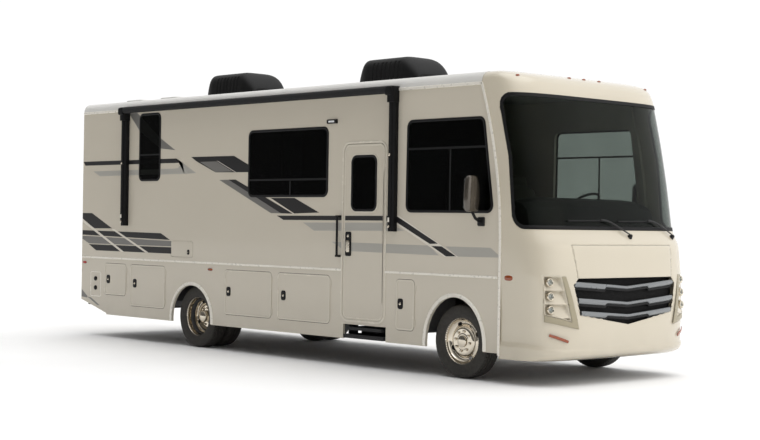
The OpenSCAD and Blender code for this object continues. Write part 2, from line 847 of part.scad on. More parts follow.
// A cylinder along X from p
module rod_y_along_x(p, r, l) {
  translate(p) rotate([0, 90, 0]) cylinder(r = r, h = l);
}

module mirrors() {
  color("#4a443c") for (side = [-1, 1]) scale([1, side, 1]) {
    y = side_y + mirror_reach;
    x = axle_f + 345;
    block([x - 45, y - 185, 1860], [x + 45, y, 2200]);
    block([x - 30, side_y, 1650], [x + 50, side_y + 40, 1760]);
    block([x - 20, side_y + 40, 1690], [x + 20, y - 90, 1730]);
    block([x - 20, y - 130, 1730], [x + 20, y - 90, 1860]);
  }
}

lamp_y = side_y - 220;
lamp_w = 120;
lamp_h = 380;
lamp_z0 = 960;
lamp_depth = 12;

module tail_lamps() {
  color("#8a1410") for (y = [-1, 1]) translate([0, y * lamp_y, 0])
    block(
      [tail_x - lamp_proud, -lamp_w / 2 + seat_gap, lamp_z0 + seat_gap],
      [tail_x + lamp_depth, lamp_w / 2 - seat_gap, lamp_z0 + lamp_h - seat_gap]
    );
}

module rear_bumper() {
  color(black) block([tail_x, -side_y + 120, 430], [tail_x + 70, side_y - 120, 500]);
  color(black) for (y = [-1, 1])
    block([tail_x + 70, y * rail_y - 30, 430], [tail_x + 180, y * rail_y + 30, 500]);
  color(black) for (y = [-1, 1])
    block([tail_x + 120, y * rail_y - 30, 500], [tail_x + 180, y * rail_y + 30, rail_z1 - rail_h]);
}

// Hitch receiver: square socket, open to the rear, with a cross hole for its pin
module hitch_receiver() {
  s = socket / 2 + socket_t;
  z = hitch_z;
  color(black) difference() {
    union() {
      block([tail_x + 2, -s, z - s], [tail_x + 260, s, z + s]);
      block([tail_x + 180, -rail_y + 30, z - s], [tail_x + 240, rail_y - 30, z + s]);
      for (y = [-1, 1])
        block([tail_x + 180, y * rail_y - 30, z - s], [tail_x + 240, y * rail_y + 30, rail_z1 - rail_h]);
    }
    block([tail_x - 1, -socket / 2, z - socket / 2], [tail_x + 230, socket / 2, z + socket / 2]);
    rod_y([tail_x + 70, 0, z], hitch_pin_r, 4 * s);
  }
}
hitch_z = 380;

// ---------------------------------------------------------------- chassis

module chassis_frame() {
  z0 = rail_z1 - rail_h;
  x0 = tail_x + 80;
  x1 = axle_f + 1000;
  joists = [tail_x + 80, axle_f - 7060, axle_f - 5400, axle_r + 500, axle_f - 1976, axle_f - 1080, axle_f + 560];
  color("#232324") {
    for (y = [-1, 1]) translate([0, y * rail_y, 0]) block([x0, -rail_w / 2, z0], [x1, rail_w / 2, rail_z1]);
    for (x = [x0, axle_r - 700, axle_r + 700, axle_f - 900, axle_f + 880])
      block([x, -rail_y + rail_w / 2, z0 + 40], [x + 60, rail_y - rail_w / 2, rail_z1 - 40]);
    // radiator support, carrying the hood's hinge rod
    for (y = [-1, 1]) {
      block([x1 - 32, y * rail_y - 20, rail_z1], [x1, y * rail_y + 20, hood_pin.y + hood_pin_r]);
      block([x1, y * rail_y - 20, hood_pin.y - hood_pin_r], [hood_pin.x, y * rail_y + 20, hood_pin.y + hood_pin_r]);
    }
    rod_y([hood_pin.x, 0, hood_pin.y], hood_pin_r, 2 * rail_y + 40);
    for (x = joists) block([x, -side_y + skirt_t, rail_z1], [x + 50, side_y - skirt_t, floor_z - floor_t]);
  }
}

module engine() {
  color(steel) block([axle_f - 450, -330, 560], [axle_f + 540, 330, floor_z - floor_t]);
}

module fuel_tank() {
  x0 = axle_r - 2500;
  top = rail_z1 - rail_h - 12;
  color("#3b3b3c") {
    block([x0, -340, 430], [x0 + 1200, 340, top]);
    // straps under the rails
    for (x = [x0 + 200, x0 + 900])
      block([x, -rail_y - rail_w / 2, top], [x + 80, rail_y + rail_w / 2, rail_z1 - rail_h]);
  }
}

// Leaf spring pack under a rail, as one stepped bar from eye to eye
module leaf_spring(x, y, half, z) {
  block([x - half, y - spring_w / 2, z - 12], [x + half, y + spring_w / 2, z + 12]);
  block([x - 0.6 * half, y - spring_w / 2, z - 36], [x + 0.6 * half, y + spring_w / 2, z - 12]);
}

// Hanger from a spring's end up to the rail
module spring_hanger(x, y, z) {
  block([x, y - spring_w / 2, z + 12], [x + 40, y + spring_w / 2, rail_z1 - rail_h]);
}

kingpin_y = side_y - tyre_inset - tyre_w / 2 - kingpin_inset;
front_tyre_y = side_y - tyre_inset - tyre_w / 2;
eye_h = 120;
spring_w = 76;

module front_axle() {
  beam_z = tyre_r - 105;
  spring_z = beam_z + 116;
  color("#2c2c2d") difference() {
    union() {
      block([axle_f - 45, -kingpin_y + 80, beam_z], [axle_f + 45, kingpin_y - 80, beam_z + 80]);
      for (y = [-1, 1]) {
        block(
          [axle_f - 45, y * (kingpin_y - 100) - 20, beam_z],
          [axle_f + 45, y * (kingpin_y - 100) + 20, tyre_r + eye_h / 2]
        );
        block(
          [axle_f - 45, y * (kingpin_y - 45) - 45, tyre_r - eye_h / 2],
          [axle_f + 45, y * (kingpin_y - 45) + 45, tyre_r + eye_h / 2]
        );
        translate([axle_f, y * kingpin_y, tyre_r - eye_h / 2]) cylinder(r = 45, h = eye_h);
        leaf_spring(axle_f, y * rail_y, 650, spring_z);
        for (x = [-640, 600]) spring_hanger(axle_f + x, y * rail_y, spring_z);
      }
    }
    for (y = [-1, 1])
      translate([axle_f, y * kingpin_y, tyre_r - eye_h]) cylinder(r = kingpin_r + pin_gap, h = 2 * eye_h);
  }
}

module rear_axle() {
  end_y = front_tyre_y - 40;
  spring_z = tyre_r + 111;
  color("#2c2c2d") {
    rod_y([axle_r, 0, tyre_r], axle_end_r, 2 * end_y);
    rod_y([axle_r, 0, tyre_r], 75, 1400);
    rod_y([axle_r, 0, tyre_r], 190, 260);
    for (y = [-1, 1]) {
      leaf_spring(axle_r, y * rail_y, 700, spring_z);
      block(
        [axle_r - 60, y * rail_y - spring_w / 2, spring_z - 76],
        [axle_r + 60, y * rail_y + spring_w / 2, spring_z - 35]
      );
      for (x = [-690, 650]) spring_hanger(axle_r + x, y * rail_y, spring_z);
    }
    // propeller shaft to the engine
    rod_y_along_x([axle_r + 150, 0, tyre_r + 60], 45, wheelbase - 650);
  }
}

// Steering knuckle: kingpin, yoke and spindle
module knuckle(side) {
  color("#2c2c2d") translate([axle_f, 0, tyre_r]) scale([1, side, 1]) {
    translate([0, kingpin_y, -eye_h / 2 - 30]) cylinder(r = kingpin_r, h = eye_h + 60);
    for (z = [-eye_h / 2 - 32, eye_h / 2 + 2])
      block([-45, kingpin_y - 45, z], [45, kingpin_y + 85, z + 30]);
    block([-45, kingpin_y + 55, -eye_h / 2 - 32], [45, kingpin_y + 85, eye_h / 2 + 32]);
    translate([0, kingpin_y + 85, 0]) rotate([-90, 0, 0]) cylinder(r = spindle_r, h = kingpin_inset - 35);
  }
}

module knuckle_right() { knuckle(-1); }
module knuckle_left() { knuckle(1); }

// Tyre about the Y axis at the origin, centred on its width
module tyre() {
  h = tyre_w / 2;
  wall_r = min(60, (tyre_r - rim_r - 25) / 2);
  wall_c = tyre_r - 15 - wall_r;
  color("#1d1d1e") rotate([90, 0, 0]) rotate_extrude() polygon(concat(
    [[rim_r, -h + 22], [rim_r + 25, -h + 6]],
    arc([wall_c, -h + wall_r], wall_r, 200, 270, 4),
    [[tyre_r - 22, -h + 14], [tyre_r - 6, -h + 34], [tyre_r, -h + 60]],
    [[tyre_r, h - 60], [tyre_r - 6, h - 34], [tyre_r - 22, h - 14]],
    arc([wall_c, h - wall_r], wall_r, 90, 160, 4),
    [[rim_r + 25, h - 6], [rim_r, h - 22]]
  ));
}

// Steel disc wheel: barrel with flanges, a dished disc set in from the outer face by dish,
// and a hub bored for its spindle
module rim(dish, bore_r, hub_r, hub_l) {
  h = tyre_w / 2 - 22;
  disc_y = h - dish;
  color(chrome) rotate([-90, 0, 0]) difference() {
    rotate_extrude() polygon([
      [bore_r, disc_y - hub_l], [hub_r, disc_y - hub_l], [hub_r, disc_y - 12],
      [rim_r - 55, disc_y - 30], [rim_r - 16, disc_y - 45], [rim_r - 16, -h],
      [rim_r, -h], [rim_r, h], [rim_r - 10, h], [rim_r - 10, disc_y - 20],
      [rim_r - 55, disc_y - 14], [hub_r, disc_y], [bore_r, disc_y]
    ]);
    for (a = [0:45:315]) rotate(a + 22.5) translate([rim_r - 62, 0, disc_y - 60])
      cylinder(r = 22, h = 80);
  }
}

module front_tyre(side) { translate([axle_f, side * front_tyre_y, tyre_r]) tyre(); }
module front_tyre_right() { front_tyre(-1); }
module front_tyre_left() { front_tyre(1); }

module front_rim(side) {
  translate([axle_f, side * front_tyre_y, tyre_r]) scale([1, side, 1])
    rim(40, spindle_r + pin_gap, 110, 60);
}
module front_rim_right() { front_rim(-1); }
module front_rim_left() { front_rim(1); }

module rear_tyres(side) {
  for (y = [0, twin_pitch]) translate([axle_r, side * (front_tyre_y - y), tyre_r]) tyre();
}
module rear_tyres_right() { rear_tyres(-1); }
module rear_tyres_left() { rear_tyres(1); }

module rear_rims(side) {
  translate([axle_r, side * front_tyre_y, tyre_r]) scale([1, side, 1]) {
    rim(150, axle_end_r + pin_gap, 110, 60);
    translate([0, -twin_pitch, 0]) mirror([0, 1, 0]) rim(100, axle_end_r + pin_gap, 110, 60);
  }
}
module rear_rims_right() { rear_rims(-1); }
module rear_rims_left() { rear_rims(1); }

// ---------------------------------------------------------------- cab inside

steer_tilt = 55;
column_r = 28;
column_l = 480;
steer_at = [axle_f + 220, 550, 1930];

module steering_wheel() {
  color("#252525") translate(steer_at) rotate([0, -90 + steer_tilt, 0]) {
    rotate_extrude() translate([210, 0]) circle(15);
    cylinder(r = 60, h = 30, center = true);
    for (a = [90, 210, 330]) rotate(a) block([40, -16, -8], [205, 16, 8]);
    translate([0, 0, seat_gap - column_l]) cylinder(r = column_r, h = column_l - 15);
  }
}

// Two cab seats: pedestal, cushion and back
module cab_seats() {
  color("#5a544a") for (y = [-550, 550]) translate([axle_f - 420, y, floor_z]) {
    block([-180, -170, 0], [180, 170, 300]);
    block([-270, -260, 300], [260, 260, 430]);
    translate([-270, 0, 430]) rotate([0, -12, 0]) block([-60, -250, 0], [60, 250, 720]);
  }
}

chassis_frame();
engine();
floor();
side_wall_right();
side_wall_left();
skirt_right();
skirt_left();
rear_wall();
roof();
front_cap();
windshield();
side_windows();
grille();
headlamps();
tail_lamps();
rear_bumper();
hitch_receiver();
awning();
air_conditioners();
roof_vents();
grab_handle();
entry_steps();
mirrors();
wipers();
dashboard();
cab_seats();
front_axle();
rear_axle();
fuel_tank();
storage_bays();
entry_door();
entry_door_window();
storage_door(-1, right_bays[0]);  // storage_door_right_1
storage_door(-1, right_bays[1]);  // storage_door_right_2
storage_door(-1, right_bays[2]);  // storage_door_right_3
storage_door(-1, right_bays[3]);  // storage_door_right_4
storage_door(-1, right_bays[4]);  // storage_door_right_5
storage_door(1, left_bays[0]);  // storage_door_left_1
storage_door(1, left_bays[1]);  // storage_door_left_2
storage_door(1, left_bays[2]);  // storage_door_left_3
utility_hatch();
hood();
knuckle_right();
knuckle_left();
front_tyre_right();
front_tyre_left();
front_rim_right();
front_rim_left();
rear_tyres_right();
rear_tyres_left();
rear_rims_right();
rear_rims_left();
steering_wheel();
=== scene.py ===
import bmesh
import bpy
import numpy as np
from mathutils import Matrix, Vector


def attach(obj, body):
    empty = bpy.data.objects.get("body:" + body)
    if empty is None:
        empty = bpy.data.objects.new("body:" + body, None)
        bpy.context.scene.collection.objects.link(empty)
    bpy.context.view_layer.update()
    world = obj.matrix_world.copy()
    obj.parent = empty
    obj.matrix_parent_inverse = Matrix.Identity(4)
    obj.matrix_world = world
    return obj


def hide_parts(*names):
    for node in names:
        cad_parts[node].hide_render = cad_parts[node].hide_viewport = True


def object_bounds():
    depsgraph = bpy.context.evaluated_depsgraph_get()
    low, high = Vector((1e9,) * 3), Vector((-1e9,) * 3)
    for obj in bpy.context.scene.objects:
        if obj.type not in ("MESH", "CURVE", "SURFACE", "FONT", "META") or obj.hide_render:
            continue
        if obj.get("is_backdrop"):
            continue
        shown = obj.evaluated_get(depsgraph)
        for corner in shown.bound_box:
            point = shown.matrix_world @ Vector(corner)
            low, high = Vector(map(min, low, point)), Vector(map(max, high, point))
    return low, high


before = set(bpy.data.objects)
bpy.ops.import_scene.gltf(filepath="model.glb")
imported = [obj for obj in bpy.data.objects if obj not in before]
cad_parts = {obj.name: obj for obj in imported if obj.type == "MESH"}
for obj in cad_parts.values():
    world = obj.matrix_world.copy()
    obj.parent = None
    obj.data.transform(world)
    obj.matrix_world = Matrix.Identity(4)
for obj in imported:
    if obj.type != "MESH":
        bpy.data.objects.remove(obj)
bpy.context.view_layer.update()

# ---------------------------------------------------------------- camera
# A photographer stands off the front right corner with a short telephoto lens, eyes at the
# height of a grown person. The camera is held nearly level, with a slight tilt.
heading, pitch, tilt = np.radians([46.97, 0.09, 0.89])
look = np.array([-np.sin(heading) * np.cos(pitch), np.cos(heading) * np.cos(pitch), np.sin(pitch)])
level = np.array([np.cos(heading), np.sin(heading), 0.0])
upward = np.cross(level, look)
right = level * np.cos(tilt) + upward * np.sin(tilt)
above = upward * np.cos(tilt) - level * np.sin(tilt)
lens = bpy.data.cameras.new("lens")
lens.lens, lens.sensor_width, lens.clip_end = 71.63, 36.0, 200.0
camera = bpy.data.objects.new("camera", lens)
camera.matrix_world = Matrix.Translation((14.5185, -13.09, 1.684)) @ Matrix(
    np.column_stack([right, above, -look]).tolist()
).to_4x4()
bpy.context.scene.collection.objects.link(camera)
bpy.context.scene.camera = camera
bpy.context.scene.view_settings.view_transform = "Standard"


# ---------------------------------------------------------------- studio
# A white photographic studio: a seamless pale floor, a soft overhead bank, a key bank in front
# of the nose, and a sky of white cloth that is darker behind the camera.
def linear(code):
    """A hex sRGB colour as linear light, c/12.92 below 0.04045, else ((c+0.055)/1.055)^2.4."""
    c = np.array([int(code[i : i + 2], 16) for i in (1, 3, 5)]) / 255
    return (*np.where(c <= 0.04045, c / 12.92, ((c + 0.055) / 1.055) ** 2.4), 1.0)


def node(tree, kind, sockets=(), **settings):
    """Adds one shader node; a socket takes a value, or the output socket that feeds it."""
    made = tree.nodes.new(kind)
    for key, value in settings.items():
        setattr(made, key, value)
    for key, value in dict(sockets).items():
        if isinstance(value, bpy.types.NodeSocket):
            tree.links.new(value, made.inputs[key])
        else:
            made.inputs[key].default_value = value
    return made


def ramp(tree, fac, stops):
    """A colour ramp over a list of (position, colour)."""
    made = node(tree, "ShaderNodeValToRGB", {"Fac": fac})
    bar = made.color_ramp.elements
    while len(bar) < len(stops):
        bar.new(0.5)
    for element, (place, colour) in zip(bar, stops):
        element.position, element.color = place, colour
    return made.outputs["Color"]


sky = bpy.data.worlds.new("white cloth")
bpy.context.scene.world = sky
sky.use_nodes = True
tree = sky.node_tree
tree.nodes.clear()
ray = node(tree, "ShaderNodeTexCoord").outputs["Generated"]
facing = node(tree, "ShaderNodeVectorMath", {0: ray, 1: (0.25, 0.85, 0.35)}, operation="DOT_PRODUCT")
part = node(
    tree, "ShaderNodeMapRange", {"Value": facing.outputs["Value"], "From Min": -0.9, "From Max": 0.35}
)
cloth = ramp(
    tree, part.outputs["Result"],
    [(0.0, linear("#4A4A4A")), (0.42, linear("#7C7B79")), (0.74, linear("#FFFFFF"))]
)
glow = node(tree, "ShaderNodeBackground", {"Color": cloth, "Strength": 1.04})
node(tree, "ShaderNodeOutputWorld", {"Surface": glow.outputs["Background"]})


def bank(name, place, aim, wide, high, watts, colour):
    """A soft box of wide x high metres that faces from place to aim."""
    light = bpy.data.lights.new(name, "AREA")
    light.shape, light.size, light.size_y = "RECTANGLE", wide, high
    light.energy, light.color = watts, linear(colour)[:3]
    holder = bpy.data.objects.new(name, light)
    holder.matrix_world = Matrix.Translation(place) @ (
        Vector(place) - Vector(aim)
    ).to_track_quat("Z", "Y").to_matrix().to_4x4()
    bpy.context.scene.collection.objects.link(holder)
    return holder


bank("key_bank", (15.0, 3.0, 6.5), (3.0, 0.0, 1.2), 9.0, 7.0, 130, "#FFF3E2")
overhead = bpy.data.lights.new("overhead", "SUN")
overhead.energy, overhead.angle = 1.05, 1.1
overhead_holder = bpy.data.objects.new("overhead", overhead)
overhead_holder.rotation_euler = (-0.10, 0.12, 0.0)
bpy.context.scene.collection.objects.link(overhead_holder)


def material(name, metallic=0.0, rough=0.5, ior=1.5, coat=0.0, coat_rough=0.05, gleam=0.5):
    made = bpy.data.materials.new(name)
    made.use_nodes = True
    shader = made.node_tree.nodes["Principled BSDF"]
    shader.inputs["Metallic"].default_value = metallic
    shader.inputs["Roughness"].default_value = rough
    shader.inputs["IOR"].default_value = ior
    shader.inputs["Coat Weight"].default_value = coat
    shader.inputs["Coat Roughness"].default_value = coat_rough
    shader.inputs["Specular IOR Level"].default_value = gleam
    return made, made.node_tree, shader


def finish(
    name, shades, grain, rough, metallic=0.0, relief=0.0, ior=1.5, coat=0.0, dirt=None, stretch=(1, 1, 1),
    gleam=0.5
):
    """A real surface: colour drifts between two shades over patches of grain metres, roughness
    runs between two values with it, and relief metres of fine texture sit on top. Dirt is
    (colour, height, share), road film that fades out at that height above the ground. Gleam is
    the share of the surface's own mirror light."""
    made, tree, shader = material(name, metallic, 0.5, ior, coat, gleam=gleam)
    where = node(tree, "ShaderNodeTexCoord").outputs["Object"]
    spread = node(
        tree, "ShaderNodeVectorMath", {0: where, 1: stretch}, operation="MULTIPLY"
    ).outputs["Vector"]
    patches = node(
        tree, "ShaderNodeTexNoise",
        {"Vector": spread, "Scale": 1 / grain, "Detail": 5.0, "Roughness": 0.6}
    )
    fine = node(tree, "ShaderNodeTexNoise", {"Vector": spread, "Scale": 9 / grain, "Detail": 3.0})
    colour = ramp(tree, patches.outputs["Fac"], [(0.32, linear(shades[0])), (0.68, linear(shades[1]))])
    if dirt:
        height = node(tree, "ShaderNodeSeparateXYZ", {"Vector": where}).outputs["Z"]
        low = node(tree, "ShaderNodeMapRange", {"Value": height, "From Min": dirt[1], "From Max": 0.2})
        film = node(
            tree, "ShaderNodeMath", {0: low.outputs["Result"], 1: fine.outputs["Fac"]},
            operation="MULTIPLY"
        )
        thin = node(tree, "ShaderNodeMath", {0: film.outputs["Value"], 1: dirt[2]}, operation="MULTIPLY")
        mixed = node(
            tree, "ShaderNodeMix", {"Factor": thin.outputs["Value"], "A": colour, "B": linear(dirt[0])},
            data_type="RGBA"
        )
        colour = mixed.outputs["Result"]
    tree.links.new(colour, shader.inputs["Base Color"])
    gloss = node(
        tree, "ShaderNodeMapRange",
        {
            "Value": fine.outputs["Fac"], "From Min": 0.3, "From Max": 0.7, "To Min": rough[0],
            "To Max": rough[1]
        }
    )
    tree.links.new(gloss.outputs["Result"], shader.inputs["Roughness"])
    if relief:
        texture = node(
            tree, "ShaderNodeBump", {"Height": fine.outputs["Fac"], "Distance": relief, "Strength": 1.0}
        )
        tree.links.new(texture.outputs["Normal"], shader.inputs["Normal"])
    return made


floor_paint = finish("matt floor paint", ("#F7F7F7", "#FDFDFD"), 3.0, (0.75, 0.9))
floor_mesh = bpy.data.meshes.new("studio_floor")
floor_mesh.from_pydata([(-90, -60, 0), (60, -60, 0), (60, 90, 0), (-90, 90, 0)], [], [(0, 1, 2, 3)])
floor_mesh.materials.append(floor_paint)
studio_floor = bpy.data.objects.new("studio_floor", floor_mesh)
bpy.context.scene.collection.objects.link(studio_floor)
studio_floor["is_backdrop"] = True


# ---------------------------------------------------------------- front cap
# The nose is one moulding of glass-fibre laid up in a female mould with a pale gelcoat face,
# bonded and screwed to the body behind a bright seam trim. Its rings are superellipses of
# power 4.4 that lean back up the windshield and roll over into the roof.
coach = "body_and_chassis"
half_width, front, roof_edge, foot, brow_top = 1.283, 4.4575, 3.206, 0.266, 3.326
ring_count, ring_points = 400, 300
gelcoat = finish(
    "gelcoat", ("#CEC5B2", "#D1C8B5"), 2.4, (0.20, 0.23), coat=0.5, relief=0.00003,
    dirt=("#8D8473", 0.60, 0.35)
)
trim_white = finish("white anodised trim", ("#E9E4D9", "#F0ECE2"), 0.3, (0.25, 0.35), metallic=0.15)
black_rubber = finish(
    "black rubber", ("#080809", "#101011"), 0.04, (0.45, 0.65), relief=0.0002, gleam=0.25
)
rings = np.array([
    [266, 150], [284, 74], [318, 24], [370, 6], [560, 2], [740, 0], [900, 6], [1030, 18], [1160, 34],
    [1300, 52], [1400, 66], [1465, 80], [1500, 96], [1545, 128], [1600, 168], [1650, 190], [1720, 205],
    [1900, 236], [2200, 290], [2600, 372], [2850, 428], [3030, 470], [3140, 505], [3206, 542],
    [3266, 600], [3308, 690], [3326, 820],
]) / 1000
ring_z = np.linspace(foot, brow_top, ring_count)
kernel = np.hanning(9)[1:-1] / np.hanning(9)[1:-1].sum()
ring_back = np.convolve(np.pad(np.interp(ring_z, *rings.T), 3, mode="edge"), kernel, "valid")
sweep = np.clip((np.minimum(ring_z, roof_edge) - 1.48) / (roof_edge - 1.48), 0, None)
ring_seam = 3.7325 - 0.300 * sweep**2
ring_half = half_width - np.where(
    ring_z > roof_edge, 0.12 - np.sqrt(np.clip(0.0144 - (ring_z - roof_edge) ** 2, 0, None)), 0
)
turn = np.linspace(0, 1, 4000) ** 2 * np.pi / 2
ring_x, ring_y, ring_len = [], [], []
for back, seam, half in zip(ring_back, ring_seam, ring_half):
    x = seam + (front - back - seam) * np.cos(turn) ** (2 / 4.4)
    y = half * np.sin(turn) ** (2 / 4.4)
    run = np.concatenate([[0], np.cumsum(np.hypot(np.diff(x), np.diff(y)))])
    even = np.linspace(0, run[-1], ring_points)
    ring_x.append(np.interp(even, run, x))
    ring_y.append(np.interp(even, run, y))
    ring_len.append(run[-1])
ring_x, ring_y, ring_len = np.array(ring_x), np.array(ring_y), np.array(ring_len)


def nose(s, z):
    """Point on the nose at girth s metres left of the middle and height z: the ring at z is
    seam + a cos(t)^(2/4.4), b sin(t)^(2/4.4), measured by its arc length."""
    row = np.clip((z - foot) / (brow_top - foot) * (ring_count - 1), 0, ring_count - 1.001)
    i = row.astype(int)
    length = ring_len[i] * (1 - row + i) + ring_len[i + 1] * (row - i)
    column = np.clip(np.abs(s) / length * (ring_points - 1), 0, ring_points - 1.001)
    j = column.astype(int)
    u, v = row - i, column - j
    mix = lambda t: (1 - u) * ((1 - v) * t[i, j] + v * t[i, j + 1]) + u * (
        (1 - v) * t[i + 1, j] + v * t[i + 1, j + 1]
    )
    return np.stack([mix(ring_x), np.sign(s) * mix(ring_y), z + 0 * s], -1)


def grid_faces(n, m, wrap_n=False, wrap_m=False):
    """The quads of an n x m grid of points, closed over either way when asked."""
    i = np.arange(n if wrap_n else n - 1)[:, None]
    j = np.arange(m if wrap_m else m - 1)[None, :]
    p, q = (i + 1) % n, (j + 1) % m
    return np.stack([i * m + j + 0 * q, i * m + q, p * m + q, p * m + j], -1).reshape(-1, 4)


def capped_faces(n, m):
    """The faces of a tube of n rings of m points, with a flat face over each end."""
    return grid_faces(n, m, False, True).tolist() + [
        list(range(m))[::-1], list(range((n - 1) * m, n * m))
    ]


def girth(y, z):
    """Arc length along the ring at z from the middle to y, by table."""
    row = np.clip(((z - foot) / (brow_top - foot) * (ring_count - 1)).astype(int), 0, ring_count - 1)
    place = np.array(
        [
            np.interp(abs(a), ring_y[k], np.linspace(0, ring_len[k], ring_points)) for a,
            k in zip(np.ravel(y + 0 * z), np.ravel(row + 0 * np.int64(y)))
        ]
    )
    return np.sign(y) * place.reshape(np.shape(y + 0 * z))


def solid_mesh(name, points, faces, finish_of, body, thick=0.0, rounded=0.0, smooth=True, offset=-1.0):
    """A mesh object from points and faces, with a wall and a rounded edge when asked."""
    mesh = bpy.data.meshes.new(name)
    mesh.from_pydata(
        np.asarray(points, float).reshape(-1, 3).tolist(), [],
        np.asarray(faces).tolist() if not isinstance(faces, list) else faces
    )
    mesh.materials.append(finish_of)
    mesh.polygons.foreach_set("use_smooth", [smooth] * len(mesh.polygons))
    made = bpy.data.objects.new(name, mesh)
    bpy.context.scene.collection.objects.link(made)
    if thick:
        wall = made.modifiers.new("wall", "SOLIDIFY")
        wall.thickness, wall.offset = thick, offset
    if rounded:
        edge = made.modifiers.new("edge", "BEVEL")
        edge.width, edge.segments, edge.limit_method = rounded, 2, "ANGLE"
    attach(made, body)
    return made


def closed_up(made, weld=0.0, holes=0):
    """Welds points nearer than weld, fills open rings of up to holes sides, turns faces outward."""
    shell = bmesh.new()
    shell.from_mesh(made.data)
    if weld:
        bmesh.ops.remove_doubles(shell, verts=shell.verts, dist=weld)
    if holes:
        bmesh.ops.holes_fill(shell, edges=[e for e in shell.edges if e.is_boundary], sides=holes)
    bmesh.ops.recalc_face_normals(shell, faces=shell.faces)
    shell.to_mesh(made.data)
    shell.free()
    return made


def cut_sheet(name, surface, region, u, v, finish_of, body, thick, outward):
    """The part of surface(u, v) where region(u, v) < 0. Points near the region's outline are
    drawn onto it along its slope, each cell is split along its on-line corners, and the
    triangles with a centre outside are left out."""
    a, b = np.meshgrid(u, v)
    reach_u, reach_v, step = (u[1] - u[0]) * 0.72, (v[1] - v[0]) * 0.72, 1e-4
    reach = np.minimum(reach_u, reach_v)
    hold_u = np.zeros_like(a, bool)
    hold_v = np.zeros_like(a, bool)
    hold_u[:, [0, -1]] = True
    hold_v[[0, -1], :] = True
    near = np.abs(region(a, b)) < reach
    for _ in range(4):
        d = region(a, b)
        gu = (region(a + step, b) - region(a - step, b)) / (2 * step)
        gv = (region(a, b + step) - region(a, b - step)) / (2 * step)
        size = np.maximum(gu**2 + gv**2, 0.2)
        a = a - np.where(near & ~hold_u, d * gu / size, 0)
        b = b - np.where(near & ~hold_v, d * gv / size, 0)
    on = near & (np.abs(region(a, b)) < 0.002)
    n = np.arange(a.size).reshape(a.shape)
    c = [n[:-1, :-1], n[:-1, 1:], n[1:, 1:], n[1:, :-1]]
    line = [on.ravel()[k] for k in c]
    first = (line[0] & line[2]) & ~(line[1] & line[3])
    halves = [
        np.stack([c[0], c[1], np.where(first, c[2], c[3])], -1).reshape(-1, 3),
        np.stack([np.where(first, c[0], c[1]), c[2], c[3]], -1).reshape(-1, 3),
    ]
    tri = np.concatenate(halves)
    flat_a, flat_b = a.ravel(), b.ravel()
    inside = region(flat_a[tri].mean(1), flat_b[tri].mean(1)) < 0
    tri = tri[inside]
    points = surface(a, b).reshape(-1, 3)
    area = np.linalg.norm(
        np.cross(points[tri[:, 1]] - points[tri[:, 0]], points[tri[:, 2]] - points[tri[:, 0]]), axis=1
    )
    tri = tri[area > 1e-9]
    used, tri = np.unique(tri, return_inverse=True)
    tri = tri.reshape(-1, 3)
    points = points[used]
    normal = np.cross(points[tri[:, 1]] - points[tri[:, 0]], points[tri[:, 2]] - points[tri[:, 0]]).sum(0)
    if np.dot(normal, outward) < 0:
        tri = tri[:, ::-1]
    return solid_mesh(name, points, tri, finish_of, body, thick)


def rounded_box(a, b, ha, hb, r):
    """Signed distance to a rectangle of half sizes ha, hb with corner radius r."""
    p, q = np.abs(a) - ha + r, np.abs(b) - hb + r
    return np.minimum(np.maximum(p, q), 0) + np.hypot(np.maximum(p, 0), np.maximum(q, 0)) - r


def outline(points, y, z):
    """Signed distance to the convex outline whose corners run clockwise in the (y, z) plane."""
    d = np.full(np.shape(y + 0 * z), -9.0)
    for (y0, z0), (y1, z1) in zip(points, points[1:] + points[:1]):
        n = np.hypot(y1 - y0, z1 - z0)
        d = np.maximum(d, ((y - y0) * -(z1 - z0) + (z - z0) * (y1 - y0)) / n)
    return d


edge_z = np.linspace(1.55, 3.12, 120)
edge_x = 3.1125 + np.interp(edge_z, [1.645, 2.4, 3.07], [0.800, 0.726, 0.560])
edge_row = ((edge_z - foot) / (brow_top - foot) * (ring_count - 1)).astype(int)
edge_s = np.array(
    [
        np.interp(-x, -ring_x[k], np.linspace(0, ring_len[k], ring_points)) for x,
        k in zip(edge_x, edge_row)
    ]
)


def windshield_line(s, z):
    """Signed distance to the windshield's opening: side edges lean with the cap, corners r 150."""
    return rounded_box(np.abs(s) - np.interp(z, edge_z, edge_s) + 2.0, z - 2.3575, 2.0, 0.7125, 0.15)


hood_corners = [(-0.852, 1.475), (0.852, 1.475), (0.806, 1.13), (-0.806, 1.13)]
grille_corners = [
    (-0.875, 1.064), (-0.806, 1.127), (0.806, 1.127), (0.875, 1.064), (0.79, 0.745), (0.0, 0.628),
    (-0.79, 0.745)
]
hood_line = lambda s, z: outline(hood_corners, nose(s, z)[..., 1], z)
grille_line = lambda s, z: outline(grille_corners, nose(s, z)[..., 1], z)
pocket = [(1.035, 1.150), (1.186, 1.150), (1.186, 0.760), (0.922, 0.690)]
pocket_line = lambda s, z: outline(pocket, np.abs(nose(s, z)[..., 1]), z)
cap_region = lambda s, z: np.maximum.reduce([
    -windshield_line(s, z), 0.0035 - hood_line(s, z), -grille_line(s, z), -pocket_line(s, z)
])


def normals(surface, s, z):
    """Unit normals of a surface by central differences, cross(dP/ds, dP/dz) turned outward."""
    e = 0.004
    n = np.cross(surface(s + e, z) - surface(s - e, z), surface(s, z + e) - surface(s, z - e))
    return n / np.maximum(np.linalg.norm(n, axis=-1, keepdims=True), 1e-9)


